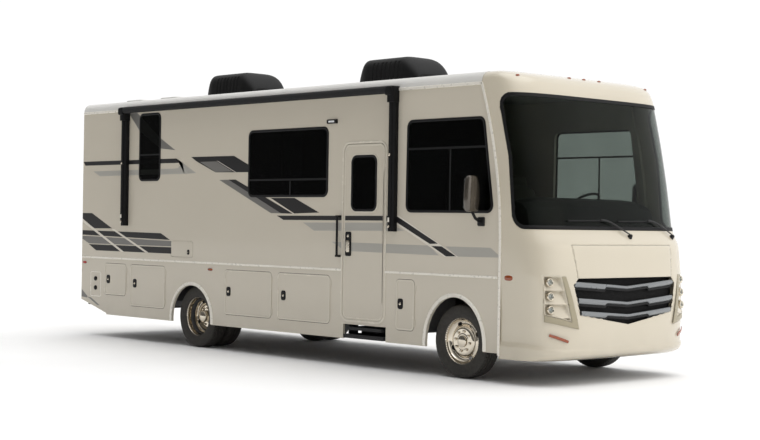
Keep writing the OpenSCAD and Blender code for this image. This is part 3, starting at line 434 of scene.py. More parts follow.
def bumper_crease(s, z):
    """The nose with its moulded-in bumper: a step 14 mm deep that swells below a crease rising
    from the middle at z 0.36 to the corners at 0.43, faded over 40 mm."""
    p = nose(s, z)
    crease = 0.36 + 0.05 * np.clip((np.abs(s) - 0.95) / 0.5, 0, 1)
    t = np.clip((z - crease) / 0.03, 0, 1)
    inset = 0.014 * t * t * (3 - 2 * t) * np.clip((1.15 - z) / 0.4, 0, 1)
    scoop = 0.006 * np.exp(-(((np.abs(p[..., 1]) - 1.02) / 0.15) ** 2) - ((z - 0.51) / 0.05) ** 2)
    return p - normals(nose, s, np.clip(z, foot + 0.01, 3.31)) * (inset + scoop)[..., None]


ahead = (1, 0, 0)
cap_s, cap_z = np.linspace(-1, 1, 221), np.linspace(foot + 0.0005, 3.3255, 190)
cap_length = lambda z: np.interp(z, ring_z, ring_len)
cap_shell = cut_sheet(
    "front_cap_shell", lambda g, z: bumper_crease(
        g * cap_length(z) / 1.75, z
    ), lambda g, z: cap_region(g * cap_length(z) / 1.75, z),
    cap_s * 1.75, cap_z, gelcoat, coach, 0.006, ahead,
)
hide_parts("front_cap")

roof_s, roof_t = np.linspace(-1, 1, 121)[None, :] * ring_len[-1] * 0.9995, np.linspace(0, 1, 12)[:, None]
brow = nose(roof_s, 3.3255 + 0 * roof_s)
seam_y = 1.163 * np.sin(np.clip(np.abs(brow[..., 1]) / 1.163, 0, 1) * np.pi / 2) * np.sign(brow[..., 1])
lid_x = (1 - roof_t) * brow[..., 0] + roof_t * 3.4325
lid_y = (1 - roof_t) * brow[..., 1] + roof_t * np.where(
    np.abs(brow[..., 1]) < 1.163, brow[..., 1], seam_y
)
lid_z = 3.3255 + 0.016 * np.sin(roof_t * np.pi / 2) * (1 - (lid_y / 1.17) ** 2)
solid_mesh(
    "front_cap_lid", np.stack([lid_x, lid_y, lid_z], -1), grid_faces(12, 121), gelcoat, coach, 0.006
)


# ---------------------------------------------------------------- windshield
# Two-layer safety glass with a grey tint, bonded in a black rubber surround that bridges the
# glass and the gelcoat.
def tinted(name, shade, clear, dull=0.05, shine=0.014, driver=None):
    """Thin tinted glass: mirrors by its angle and lets its shade through; the driver's pane differs."""
    made, tree, shader = material(name)
    tree.nodes.remove(shader)
    where = node(tree, "ShaderNodeTexCoord").outputs["Object"]
    film = node(tree, "ShaderNodeTexNoise", {"Vector": where, "Scale": 2.5, "Detail": 2.0}).outputs["Fac"]
    tint = ramp(tree, film, [(0.3, linear(shade[0])), (0.7, linear(shade[1]))])
    if driver:
        axes = node(tree, "ShaderNodeSeparateXYZ", {0: where})
        left = node(tree, "ShaderNodeMath", {0: axes.outputs["Y"], 1: 0.0}, operation="GREATER_THAN")
        cab = node(tree, "ShaderNodeMath", {0: axes.outputs["X"], 1: 2.2}, operation="GREATER_THAN")
        both = node(tree, "ShaderNodeMath", {0: left.outputs[0], 1: cab.outputs[0]}, operation="MULTIPLY")
        tint = node(tree, "ShaderNodeMixRGB", {0: both.outputs[0], 1: tint, 2: linear(driver)}).outputs[0]
    through = node(tree, "ShaderNodeBsdfTransparent", {"Color": tint})
    body = node(tree, "ShaderNodeBsdfPrincipled", {"Base Color": linear(clear), "Roughness": 0.3})
    inside = node(tree, "ShaderNodeMixShader", {0: dull, 1: through.outputs[0], 2: body.outputs[0]})
    wave = node(tree, "ShaderNodeBump", {"Height": film, "Distance": 0.002, "Strength": 0.4})
    mirror = node(tree, "ShaderNodeBsdfGlossy", {"Roughness": 0.02, "Normal": wave.outputs["Normal"]})
    side_on = node(tree, "ShaderNodeLayerWeight", {"Blend": 0.5}).outputs["Facing"]
    grazing = node(tree, "ShaderNodeMath", {0: side_on, 1: 5.0}, operation="POWER")
    share = node(
        tree, "ShaderNodeMapRange", {"Value": grazing.outputs["Value"], "To Min": shine, "To Max": 1.0}
    )
    whole = node(
        tree, "ShaderNodeMixShader", {0: share.outputs[0], 1: inside.outputs[0], 2: mirror.outputs[0]}
    )
    tree.links.new(whole.outputs[0], tree.nodes["Material Output"].inputs["Surface"])
    return made


screen_glass = tinted("laminated windshield glass", ("#BFC4C1", "#C4C9C6"), "#040506", 0.02, 0.005)
glass = tinted("dark tempered glass", ("#686C6A", "#6D716F"), "#040506", 0.05, 0.010, "#D0D5D2")
inset_nose = lambda depth: lambda s, z: nose(s, z) - depth * normals(
    nose, s, np.clip(z, foot + 0.01, 3.31)
)
pane = cut_sheet(
    "windshield_pane", inset_nose(0.005), lambda s, z: windshield_line(s, z) + 0.003,
    np.linspace(-1.75, 1.75, 180), np.linspace(1.62, 3.10, 80), screen_glass, coach, 0.006, ahead,
)
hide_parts("windshield")
cut_sheet(
    "windshield_surround", inset_nose(-0.003), lambda s, z: np.abs(windshield_line(s, z) + 0.012) - 0.020,
    np.linspace(-1.78, 1.78, 330), np.linspace(1.60, 3.12, 150), black_rubber, coach, 0.007, ahead,
)

# ---------------------------------------------------------------- wipers
# Two single-arm wipers in satin black steel: pivots on the cap, bowed arms, and rubber blades
# parked nearly level across the foot of the glass.
wiper_black = finish("satin black steel", ("#0A0A0B", "#121213"), 0.05, (0.35, 0.45), gleam=0.4)
small_turn = np.linspace(0, 2 * np.pi, 12, endpoint=False)
small_ring = np.stack([np.cos(small_turn), np.sin(small_turn)], -1)
for k, y in enumerate((0.166, 0.993)):
    t = np.linspace(0, 1, 22)
    arm_y = y - 0.46 * t
    arm_z = 1.568 + 0.175 * np.sin(t * np.pi / 2)
    blade_y = np.linspace(y - 0.98, y - 0.36, 24)
    blade_z = 1.735 + 0.012 * (blade_y - y + 0.46)
    arm = ("arm", arm_y, arm_z, 0.030, 0.010, 0.006, wiper_black)
    blade = ("blade", blade_y, blade_z, 0.010, 0.009, 0.013, black_rubber)
    for part_name, path_y, path_z, lift, width, deep, skin in (arm, blade):
        g = np.sign(path_y) * girth(np.abs(path_y), path_z)
        out = normals(nose, g, path_z)
        path = nose(g, path_z) + out * lift
        along = np.gradient(path, axis=0)
        wide = np.cross(out, along / np.linalg.norm(along, axis=1, keepdims=True))
        side_of = width * small_ring[None, :, :1] * wide[:, None]
        rise_of = deep * small_ring[None, :, 1:] * out[:, None]
        solid_mesh(
            f"wiper_{part_name}_{k + 1}", path[:, None] + side_of + rise_of, capped_faces(len(path), 12),
            skin, coach
        )
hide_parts("wipers")

# ---------------------------------------------------------------- hood
# A light access panel of the same moulding, on a hinge rod at its top edge, with a dark shut
# line all round. It carries no badge.
hood_panel = cut_sheet(
    "hood_panel", inset_nose(-0.001), hood_line, np.linspace(-0.90, 0.90, 120),
    np.linspace(1.12, 1.485, 30), gelcoat, "hood", 0.012, ahead,
)
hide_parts("hood")


# ---------------------------------------------------------------- grille
# A black expanded mesh behind three chevron bars of grey painted plastic with bright upper
# faces. Each bar is deeper toward its ends, with a step at a third of its length.
def swept(name, path, across, out, profile, finish_of, body, closed=False, smooth=False, rounded=0.0):
    """A profile along a path: point(i, k) = path(i) + a(k) across(i) + b(k) out(i), with flat
    ends when the path is open."""
    path, profile = np.asarray(path, float), np.asarray(profile, float)
    n, m = len(path), len(profile)
    across, out = (np.broadcast_to(np.asarray(w, float), (n, 3)) for w in (across, out))
    points = path[:, None] + profile[None, :, :1] * across[:, None] + profile[None, :, 1:] * out[:, None]
    faces = grid_faces(n, m, True, True).tolist() if closed else capped_faces(n, m)
    made = solid_mesh(name, points, faces, finish_of, body, 0.0, rounded, smooth)
    made.data.validate()
    return closed_up(made)


grille_mesh = finish(
    "black expanded mesh", ("#040404", "#0A0A0B"), 0.012, (0.5, 0.8), relief=0.004, gleam=0.2
)
grey_bar = finish("dark silver paint on plastic", ("#85888A", "#8A8D8F"), 0.6, (0.27, 0.30), metallic=0.4)
backing = cut_sheet(
    "grille_mesh", inset_nose(0.062), lambda s, z: grille_line(s, z) - 0.02, np.linspace(-0.95, 0.95, 60),
    np.linspace(0.58, 1.16, 24), grille_mesh, coach, 0.004, ahead,
)
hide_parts("grille")
side = np.linspace(-1, 1, 81)
for k, (edge, reach_y) in enumerate([(1.098, 0.846), (0.928, 0.808), (0.796, 0.772)]):
    y = side * reach_y
    end = np.clip((np.abs(y) - 0.36) / 0.012, 0, 1)
    height = 0.034 + 0.026 * end
    upper = edge - 0.060 * (1 - np.abs(y) / 0.84)
    ring = []
    for drop, depth in (
        (0.0, 0.030), (0.004, 0.004), (0.45, -0.002), (0.85, 0.012), (1.0, 0.022), (0.9, 0.05)
    ):
        z = upper - drop * height
        ring.append(inset_nose(0)(girth(y, z), z) - np.stack([depth + 0.006 + 0 * y, 0 * y, 0 * y], -1))
    points = np.stack(ring, 1)
    solid_mesh(f"grille_bar_{k + 1}", points, grid_faces(81, 6, False, True), grey_bar, coach)
    lip_z = upper - height - 0.012
    lip = inset_nose(0)(girth(y, lip_z), lip_z) - (0.03, 0, 0)
    swept(
        f"grille_louvre_{k + 1}", lip, (0, 0, 1), (1, 0, 0),
        [(-0.012, -0.02), (-0.012, 0.004), (0.012, 0.008), (0.012, -0.02)], black_rubber, coach,
        smooth=False
    )


# ---------------------------------------------------------------- headlamps
# Three round lamps a side, each a clear lens and bright ring at the outer end of a stepped
# ledge moulded into the cap, with a grey painted band down the inner side and along the bottom.
def ledges(s, z):
    """Depth of the pocket: three ramps, each 52 mm deep at its top and 8 mm at its bottom,
    brought to nothing over 12 mm inside the pocket's outline."""
    share = np.mod((z - 0.720) / 0.1435, 1.0)
    return np.clip(-pocket_line(s, z) / 0.010, 0, 1) * (
        0.010 + 0.048 * np.clip(
            share / 0.93, 0, 1
        ) * (share < 0.93) + 0.048 * (share >= 0.93) * (1 - share) / 0.07
    )


def lathe(name, centre, axis, profile, finish_of, body, turns=32, smooth=True, closed=False):
    """A profile (radius, height) turned about an axis: centre + r (cos a, sin a) + h axis."""
    axis = np.asarray(axis, float) / np.linalg.norm(axis)
    one = np.cross(axis, (0.0, 0.0, 1.0) if abs(axis[2]) < 0.9 else (1.0, 0.0, 0.0))
    one /= np.linalg.norm(one)
    two = np.cross(axis, one)
    angle = np.linspace(0, 2 * np.pi, turns, endpoint=False)
    r, h = np.asarray(profile, float).T
    points = np.asarray(centre) + r[:, None, None] * (
        np.cos(angle)[None, :, None] * one + np.sin(angle)[None, :, None] * two
    ) + h[:, None, None] * axis
    faces = grid_faces(len(r), turns, closed, True)
    made = solid_mesh(name, points, faces, finish_of, body, smooth=smooth)
    return closed_up(made, 1e-6, turns + 1)


lamp_cover = tinted("clear polycarbonate cover", ("#EDF0F1", "#F4F6F6"), "#C8CCCE", 0.02)
lens_clear = finish(
    "polycarbonate lamp lens", ("#E4E8EA", "#F4F6F6"), 0.02, (0.04, 0.08), coat=1.0, relief=0.0003
)
lamp_glass = finish(
    "lamp reflector", ("#8F9498", "#EEF1F2"), 0.018, (0.08, 0.16), metallic=0.9, relief=0.002
)
# Chromed steel with its colour tinted warm: the warm tint is a painted reflection of the warm floor and
# light, since real chrome is neutral.
chrome_painted_warm = finish("chromed steel", ("#D3CABA", "#DED5C5"), 0.15, (0.06, 0.10), metallic=1.0)
band_grey = finish("grey vinyl band", ("#A0977F", "#A49B84"), 0.8, (0.3, 0.34))
amber = finish("amber acrylic", ("#84360A", "#9B440E"), 0.015, (0.12, 0.2), coat=0.8, relief=0.0004)
red_lens = finish("red acrylic", ("#8E1008", "#B41C10"), 0.015, (0.12, 0.2), coat=0.8, relief=0.0004)
band_outer = [(0.965, 1.153), (1.190, 1.153), (1.190, 0.680), (0.812, 0.599)]
band_inner = [(1.052, 1.300), (1.350, 1.300), (1.350, 0.793), (1.190, 0.750), (0.912, 0.676)]
for name, sign in (("right", -1), ("left", 1)):
    lo, hi = girth(np.array([0.78, 1.235]), np.array([0.6, 1.1]))
    across = np.linspace(lo, hi, 60) if sign > 0 else -np.linspace(hi, lo, 60)
    cut_sheet(
        f"lamp_pocket_{name}", lambda s, z: nose(s, z) - (
            ledges(s, z) + 0.0015
        )[..., None] * normals(nose, s, z),
        lambda s, z: pocket_line(s, z) - 0.004, across, np.linspace(
            0.66, 1.17, 110
        ), gelcoat, coach, 0.002, ahead,
    )
    cut_sheet(
        f"lamp_band_{name}", inset_nose(-0.0012),
        lambda s, z: np.maximum(
            outline(band_outer, np.abs(nose(s, z)[..., 1]), z),
            -outline(band_inner, np.abs(nose(s, z)[..., 1]), z)
        ),
        across, np.linspace(0.58, 1.17, 60), band_grey, coach, 0.001, ahead,
    )
    for k, z in enumerate((1.090, 0.945, 0.805)):
        g = sign * girth(np.array([1.132]), np.array([z]))
        centre = nose(g, np.array([z]))[0]
        away = normals(nose, g, np.array([z]))[0] * 0.25 + np.array([0.75, 0, 0])
        lathe(
            f"lamp_ring_{name}_{k + 1}", centre - away * 0.012, away,
            [(0.044, -0.030), (0.044, 0.004), (0.040, 0.010), (0.035, 0.006), (0.034, -0.010)], chrome_painted_warm,
            coach
        )
        lathe(
            f"lamp_bulb_{name}_{k + 1}", centre - away * 0.020, away,
            [
                (0.034, 0.0), (0.030, -0.010), (0.018, -0.018), (0.009, -0.020), (0.009, -0.008),
                (0.0, -0.004)
            ],
            lamp_glass, coach
        )
        lathe(
            f"lamp_lens_{name}_{k + 1}", centre - away * 0.012, away,
            [(0.034, 0.0), (0.030, 0.007), (0.020, 0.012), (0.008, 0.0145), (0.0, 0.015)], lamp_cover,
            coach
        )
    path_y, path_z = np.linspace(0.950, 1.150, 12), np.linspace(0.474, 0.545, 12)
    g = sign * girth(path_y, path_z)
    out = normals(nose, g, path_z)
    along = np.gradient(nose(g, path_z), axis=0)
    wide = np.cross(out, along / np.linalg.norm(along, axis=1, keepdims=True))
    swept(
        f"reflector_{name}", nose(g, path_z) - out * 0.006, wide, out,
        [(-0.015, 0), (-0.015, 0.006), (-0.010, 0.010), (0.010, 0.010), (0.015, 0.006), (0.015, 0)],
        amber, coach
    )
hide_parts("headlamps")


# ---------------------------------------------------------------- clearance lamps
# Five amber lamps on the brow, teardrop acrylic lenses, and amber and red side markers on the
# skirts.
def dome(name, centre, along, out, size, finish_of, body, power=2.5):
    """A half superellipsoid: size (length, width, height), standing out from a surface."""
    along, out = np.asarray(along, float), np.asarray(out, float)
    across = np.cross(out, along)
    a, t = np.linspace(0, 2 * np.pi, 32, endpoint=False)[None, :], np.linspace(0, np.pi / 2, 9)[:, None]
    e = lambda w: np.sign(w) * np.abs(w) ** (2 / power)
    points = np.asarray(centre) + 0.5 * (
        (
            size[0] * e(np.cos(a)) * e(np.cos(t))
        )[..., None] * along + (size[1] * e(np.sin(a)) * e(np.cos(t)))[..., None] * across
    ) + (size[2] * e(np.sin(t)) + 0 * a)[..., None] * out
    points[-1] = np.asarray(centre) + size[2] * out
    made = solid_mesh(name, points, grid_faces(9, 32, False, True), finish_of, body)
    return closed_up(made, 1e-6, 40)


for k, (y, z) in enumerate(
    [(0.0, 3.300), (0.259, 3.298), (-0.259, 3.298), (1.10, 3.268), (-1.10, 3.268)]
):
    g = np.sign(y) * girth(np.array([abs(y)]), np.array([z]))
    out = normals(nose, g, np.array([z]))[0]
    out = out * 0.4 + np.array([0.6, 0, 0.55])
    out /= np.linalg.norm(out)
    dome(
        f"clearance_lamp_{k + 1}", nose(g, np.array([z]))[0] - out * 0.012, (0, 1, 0), out,
        (0.060, 0.028, 0.026), amber, coach
    )

for k, y in enumerate((0.166, 0.993)):
    g, z = girth(np.array([y]), np.array([1.565])), np.array([1.565])
    out = normals(nose, g, z)[0]
    lathe(
        f"wiper_pivot_{k + 1}", nose(g, z)[0] - out * 0.006, out,
        [(0.0, 0.0), (0.030, 0.0), (0.030, 0.012), (0.020, 0.030), (0.012, 0.044), (0.0, 0.046)],
        wiper_black, coach, 24
    )

# ---------------------------------------------------------------- cap seam
# An extruded bright trim covers the joint between the cap and the body from the skirt up over
# the roof's edge on both sides.
seam_z = np.linspace(0.300, 3.200, 60)
seam_run = 3.7325 - 0.300 * np.clip((seam_z - 1.48) / (roof_edge - 1.48), 0, None) ** 2
for name, sign in (("right", -1), ("left", 1)):
    path = np.stack([seam_run, 0 * seam_z + sign * half_width, seam_z], -1)
    swept(
        f"cap_seam_{name}", path, (1, 0, 0), (0, sign, 0),
        [
            (-0.015, -0.002), (-0.015, 0.008), (-0.010, 0.012), (0.010, 0.012), (0.015, 0.008),
            (0.015, -0.002)
        ],
        trim_white, coach
    )


# ---------------------------------------------------------------- body skins
# Bonded walls: a glossy champagne gelcoat face on lauan board and foam. Skirts, entry door,
# storage doors and hatch are cut from the same sheet. The roof is white and a little duller.
roof_white = finish("white roof skin", ("#D6D5D1", "#DEDCD8"), 0.8, (0.3, 0.45), relief=0.0001)
panels = [
    "side_wall_right", "side_wall_left", "skirt_right", "skirt_left", "rear_wall", "entry_door",
    "utility_hatch"
]
panels += [
    f"storage_door_right_{k}" for k in range(1, 6)
] + [f"storage_door_left_{k}" for k in range(1, 4)]
wall_gelcoat = finish(
    "gelcoat wall sheet", ("#CCC4B4", "#CFC7B7"), 3.0, (0.24, 0.27), coat=0.35, relief=0.00003,
    dirt=("#8A8170", 0.80, 0.35)
)


def dress(name, skin):
    """Puts one material on every slot of a carried-over node."""
    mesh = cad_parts[name].data
    mesh.materials.clear()
    mesh.materials.append(skin)


for name in panels:
    dress(name, wall_gelcoat)
dress("roof", roof_white)

# ---------------------------------------------------------------- vinyl graphics
# Cut cast-vinyl bands in black and greys on both walls, lapped in two layers with fine light
# pinstripes, cut at the entry door's gaps. They carry no words.
vinyl_black = finish("black cast vinyl", ("#201F20", "#232223"), 1.5, (0.32, 0.35), gleam=0.3)
vinyl_grey = finish("grey cast vinyl", ("#6F6D69", "#73716D"), 1.5, (0.30, 0.33), coat=0.15)
vinyl_light = finish("silver cast vinyl", ("#A7A49C", "#ABA8A0"), 1.5, (0.30, 0.33), coat=0.15)
vinyl_line = finish("cream vinyl pinstripe", ("#D9D3C6", "#DCD6C9"), 1.5, (0.30, 0.33), coat=0.15)
axle = 3.1125
bands = [
    (vinyl_black, 1, [(-7.556, 2.495), (-5.26, 2.497), (-5.13, 2.448), (-5.24, 2.437), (-7.50, 2.437)]),
    (vinyl_light, 2, [(-5.25, 2.497), (-4.80, 2.296), (-5.06, 2.288), (-5.215, 2.368), (-5.11, 2.440)]),
    (vinyl_light, 1, [(-7.29, 2.352), (-5.30, 2.362), (-5.21, 2.368), (-5.06, 2.289), (-7.12, 2.281)]),
    (
        vinyl_grey, 1,
        [(-6.40, 3.15), (-6.20, 3.15), (-5.64, 2.785), (-5.28, 2.609), (-5.63, 2.640), (-6.12, 2.885)]
    ),
    (
        vinyl_black, 1,
        [(-4.92, 2.510), (-3.99, 2.505), (-3.690, 2.387), (-3.690, 2.292), (-4.38, 2.299), (-4.80, 2.450)]
    ),
    (vinyl_grey, 2, [(-4.72, 2.441), (-4.364, 2.441), (-4.016, 2.305), (-4.381, 2.303)]),
    (vinyl_line, 3, [(-4.350, 2.446), (-4.332, 2.446), (-3.946, 2.295), (-3.964, 2.295)]),
    (vinyl_grey, 1, [(-4.296, 2.200), (-4.10, 2.201), (-3.03, 1.777), (-3.226, 1.777)]),
    (vinyl_black, 1, [(-4.10, 2.201), (-3.953, 2.202), (-2.799, 1.773), (-3.03, 1.777)]),
    (vinyl_line, 3, [(-3.297, 1.974), (-3.275, 1.974), (-2.771, 1.770), (-2.793, 1.770)]),
    (vinyl_black, 1, [(-3.235, 1.966), (-2.775, 1.966), (-2.308, 1.790), (-2.775, 1.776)]),
    (vinyl_black, 1, [(-3.112, 1.748), (-0.95, 1.761), (-0.95, 1.706), (-2.981, 1.696)]),
    (vinyl_light, 1, [(-2.606, 1.668), (-1.11, 1.680), (-0.838, 1.593), (-2.40, 1.572)]),
    (vinyl_light, 1, [(-2.074, 1.446), (-0.44, 1.437), (-0.286, 1.331), (-1.83, 1.343)]),
    (vinyl_light, 1, [(-0.185, 1.432), (0.483, 1.433), (0.640, 1.332), (-0.009, 1.326)]),
    (vinyl_line, 2, [(-0.985, 1.766), (-0.940, 1.766), (0.010, 1.322), (-0.200, 1.318), (-0.985, 1.675)]),
    (vinyl_black, 3, [(-0.971, 1.761), (-0.304, 1.461), (-0.429, 1.454), (-0.971, 1.690)]),
    (vinyl_black, 3, [(-0.407, 1.433), (-0.244, 1.431), (-0.023, 1.328), (-0.174, 1.323)]),
    (
        vinyl_black, 1,
        [(-7.556, 1.753), (-7.309, 1.754), (-6.781, 1.541), (-7.252, 1.535), (-7.556, 1.675)]
    ),
    (vinyl_black, 1, [(-7.556, 1.506), (-5.589, 1.492), (-5.37, 1.404), (-7.556, 1.440)]),
    (vinyl_grey, 1, [(-7.556, 1.425), (-5.345, 1.390), (-5.340, 1.318), (-7.38, 1.318), (-7.556, 1.382)]),
    (vinyl_black, 1, [(-7.38, 1.306), (-5.340, 1.306), (-5.336, 1.220), (-7.185, 1.221)]),
    (vinyl_line, 2, [(-7.556, 1.665), (-7.556, 1.625), (-6.547, 1.215), (-6.467, 1.215)]),
    (vinyl_line, 2, [(-6.800, 1.531), (-6.720, 1.531), (-5.873, 1.222), (-5.953, 1.222)]),
    (vinyl_grey, 1, [(-7.556, 0.655), (-7.400, 0.560), (-7.400, 0.535), (-7.556, 0.545)]),
    (vinyl_grey, 1, [(-7.400, 0.550), (-7.300, 0.543), (-7.070, 0.440), (-7.130, 0.440)]),
]


def clipped(shape, axis_index, value, sense):
    """The part of a polygon on one side of a line, with a corner added where it crosses."""
    d = sense * (shape[:, axis_index] - value)
    after, d_after = np.roll(shape, -1, 0), np.roll(d, -1)
    crossing = d * d_after < 0
    share = np.where(crossing, d / np.where(crossing, d - d_after, 1), 0)
    both = np.stack([shape, shape + share[:, None] * (after - shape)], 1).reshape(-1, 2)
    return both[np.stack([d >= 0, crossing], 1).ravel()]


def vinyl(name, shapes, sign, body, x0, x1):
    """Flat cut films as thin closed prisms, each layer 0.4 mm above the one under it."""
    groups = {}
    for skin, layer, shape in shapes:
        shape = clipped(clipped(np.array(shape), 0, x0, 1), 0, x1, -1)
        if len(shape) < 3:
            continue
        area = np.dot(
            shape[:, 0], np.roll(shape[:, 1], -1)
        ) - np.dot(shape[:, 1], np.roll(shape[:, 0], -1))
        shape = shape[::-1] if area * sign > 0 else shape
        groups.setdefault(skin.name, (skin, []))[1].append((shape, layer))
    for skin, cut in groups.values():
        points, faces = [], []
        for shape, layer in cut:
            k, n = len(shape), sum(len(p) for p in points)
            for lift in (0.0004 * layer, -0.0005):
                points.append(
                    np.stack(
                        [shape[:, 0] + axle, sign * (half_width + lift + 0 * shape[:, 0]), shape[:, 1]],
                        -1
                    )
                )
            faces += [list(range(n, n + k)), list(range(n + k, n + 2 * k))[::-1]]
            faces += [[n + i, n + k + i, n + k + (i + 1) % k, n + (i + 1) % k] for i in range(k)]
        solid_mesh(
            f"{name}_{skin.name.replace(' ', '_')}", np.concatenate(points), faces, skin, body,
            smooth=False
        )


vinyl("graphics_right_rear", bands, -1, coach, -7.6, -1.885)
vinyl("graphics_entry_door", bands, -1, "entry_door", -1.842, -1.193)
vinyl("graphics_right_front", bands, -1, coach, -1.150, 0.65)
vinyl("graphics_left", bands, 1, coach, -7.6, 0.65)


# ---------------------------------------------------------------- window frames
# Black powder-coated aluminium clamp frames round each side window, with the slim bars
# between the fixed and sliding panes.
def loop(corners, r, n=7):
    """A closed outline with each corner rounded by an arc of radius r."""
    corners = np.array(corners, float)
    turned = []
    for before, at, after in zip(np.roll(corners, 1, 0), corners, np.roll(corners, -1, 0)):
        a, b = (before - at) / np.linalg.norm(before - at), (after - at) / np.linalg.norm(after - at)
        half = np.arccos(np.dot(a, b)) / 2
        middle = at + (a + b) / np.linalg.norm(a + b) * r / np.sin(half)
        start, end = at + a * r / np.tan(half) - middle, at + b * r / np.tan(half) - middle
        sweep_angle = np.arccos(np.clip(np.dot(start, end) / r**2, -1, 1))
        t = np.linspace(0, 1, n)[:, None]
        turned.append(
            middle + (
                np.sin((1 - t) * sweep_angle) * start + np.sin(t * sweep_angle) * end
            ) / np.sin(sweep_angle)
        )
    return np.concatenate(turned)


def framed(name, corners, r, sign, wide, proud, skin, body, sink=0.002, shift=0.0):
    """A frame of width wide round an outline on a side wall, standing proud of it."""
    flat = loop(corners, r)
    step = np.roll(flat, -1, 0) - np.roll(flat, 1, 0)
    step /= np.linalg.norm(step, axis=1, keepdims=True)
    outward = np.stack([step[:, 1], 0 * step[:, 0], -step[:, 0]], -1)
    middle = np.stack([flat[:, 0], 0 * flat[:, 0], flat[:, 1]], -1).mean(0)
    path = np.stack([flat[:, 0] + axle, 0 * flat[:, 0] + sign * half_width, flat[:, 1]], -1)
    if ((path - middle - (axle, 0, 0)) * outward).sum() < 0:
        outward = -outward
    profile = [
        (shift - wide / 2, -sink), (shift - wide / 2, proud * 0.7), (shift - wide / 4, proud),
        (shift + wide / 4, proud), (shift + wide / 2, proud * 0.7), (shift + wide / 2, -sink)
    ]
    return swept(name, path, outward, (0, sign, 0), profile, skin, body, closed=True)


def box_corners(x0, x1, z0, z1):
    """The corners of an upright rectangle."""
    return [(x0, z0), (x1, z0), (x1, z1), (x0, z1)]


def strip(name, a, b, wide, proud, sign, skin, body, sink=0.002):
    """A straight flat bar from a to b on a side wall, with chamfered edges."""
    a, b = np.array(a), np.array(b)
    along = (b - a) / np.linalg.norm(b - a)
    path = np.array([(a[0] + axle, sign * half_width, a[1]), (b[0] + axle, sign * half_width, b[1])])
    c = min(wide * 0.2, proud * 0.5)
    profile = [
        (-wide / 2, -sink), (-wide / 2, proud - c), (-wide / 2 + c, proud), (wide / 2 - c, proud),
        (wide / 2, proud - c), (wide / 2, -sink)
    ]
    return swept(name, path, (along[1], 0, -along[0]), (0, sign, 0), profile, skin, body)


frame_black = finish(
    "black powder coat", ("#0A0A0B", "#111112"), 0.05, (0.4, 0.55), relief=0.0001, gleam=0.25
)
cab_corners = [(-0.810, 1.810), (0.515, 1.810), (0.365, 2.826), (-0.800, 2.826)]
for name, sign in (("right", -1), ("left", 1)):
    for part_name, corners in (
        ("bed", box_corners(-6.120, -5.630, 2.210, 3.120)),
        ("room", box_corners(-3.680, -2.165, 1.985, 2.805)), ("cab", cab_corners)
    ):
        framed(
            f"{part_name}_window_frame_{name}", corners, 0.075, sign, 0.030, 0.008, frame_black, coach,
            shift=-0.004
        )
    strip(
        f"room_window_rail_{name}", (-3.675, 2.190), (-2.170, 2.190), 0.022, 0.006, sign, frame_black,
        coach
    )
    strip(
        f"room_window_post_{name}", (-2.860, 1.990), (-2.860, 2.190), 0.022, 0.006, sign, frame_black,
        coach
    )
    strip(
        f"cab_window_rail_{name}", (-0.805, 2.510), (0.410, 2.510), 0.022, 0.006, sign, frame_black, coach
    )
    strip(
        f"cab_window_post_{name}", (-0.130, 1.815), (-0.130, 2.510), 0.022, 0.006, sign, frame_black,
        coach
    )
    strip(
        f"bed_window_rail_{name}", (-6.115, 2.560), (-5.635, 2.560), 0.020, 0.006, sign, frame_black,
        coach
    )
dress("side_windows", glass)
dress("entry_door_window", glass)

# ---------------------------------------------------------------- entry door
# A framed door with a surround on the wall, a little lighter than the wall as a painted
# highlight, a rounded window clamped in a black ring, and a black paddle handle with a key lock.
door_out = [(-1.870, 0.548), (-1.165, 0.548), (-1.165, 2.595), (-1.870, 2.595)]
# Wall gelcoat made slightly lighter: a painted highlight for the light that the raised door rims and
# surround catch.
rim_painted_highlight = finish("door rim gelcoat with painted highlight", ("#D3CCBD", "#D8D1C2"), 1.0, (0.24, 0.28), coat=0.3)
framed("door_surround", door_out, 0.090, -1, 0.026, 0.007, rim_painted_highlight, coach, shift=0.017)
framed(
    "door_leaf_edge", [(-1.862, 0.556), (-1.173, 0.556), (-1.173, 2.587), (-1.862, 2.587)], 0.084, -1,
    0.018, 0.004, rim_painted_highlight, "entry_door", shift=-0.011
)
framed(
    "door_window_ring", box_corners(-1.730, -1.310, 1.820, 2.450), 0.075, -1, 0.028, 0.008, frame_black,
    "entry_door", shift=-0.002
)
framed(
    "door_window_bead", box_corners(-1.730, -1.310, 1.820, 2.450), 0.075, -1, 0.014, 0.006, rim_painted_highlight,
    "entry_door", shift=0.020
)
plate = loop(box_corners(-1.822, -1.728, 1.285, 1.570), 0.020)


def raised(name, flat, sign, heights, skin, body):
    """A plate grown from an outline in steps of (inset share, height), closed by its centre."""
    centre = flat.mean(0)
    rows = [centre + (flat - centre) * (1 - share) for share, _ in heights]
    points = np.concatenate(
        [
            np.stack([r[:, 0] + axle, sign * (half_width + h) + 0 * r[:, 0], r[:, 1]], -1) for r,
            (_, h) in zip(rows, heights)
        ]
    )
    made = solid_mesh(name, points, capped_faces(len(heights), len(flat)), skin, body, smooth=False)
    return closed_up(made)


raised(
    "door_handle_plate", plate, -1,
    [(0, -0.002), (0, 0.010), (0.06, 0.014), (0.25, 0.014), (0.32, 0.004)], frame_black, "entry_door"
)
raised(
    "door_handle_paddle", loop(box_corners(-1.806, -1.744, 1.330, 1.470), 0.014), -1,
    [(0, 0.003), (0.02, 0.018), (0.2, 0.024)], chrome_painted_warm, "entry_door"
)
lathe(
    "door_key_lock", (-1.775 + axle, -half_width - 0.002, 1.520), (0, -1, 0),
    [(0.0, 0.0), (0.017, 0.0), (0.017, 0.014), (0.012, 0.018), (0.004, 0.017), (0.0, 0.016)], chrome_painted_warm,
    "entry_door"
)
strip("porch_lamp", (-2.170, 2.870), (-2.000, 2.870), 0.050, 0.026, -1, frame_black, coach)
strip("porch_lamp_lens", (-2.135, 2.870), (-2.035, 2.870), 0.022, 0.030, -1, lens_clear, coach)

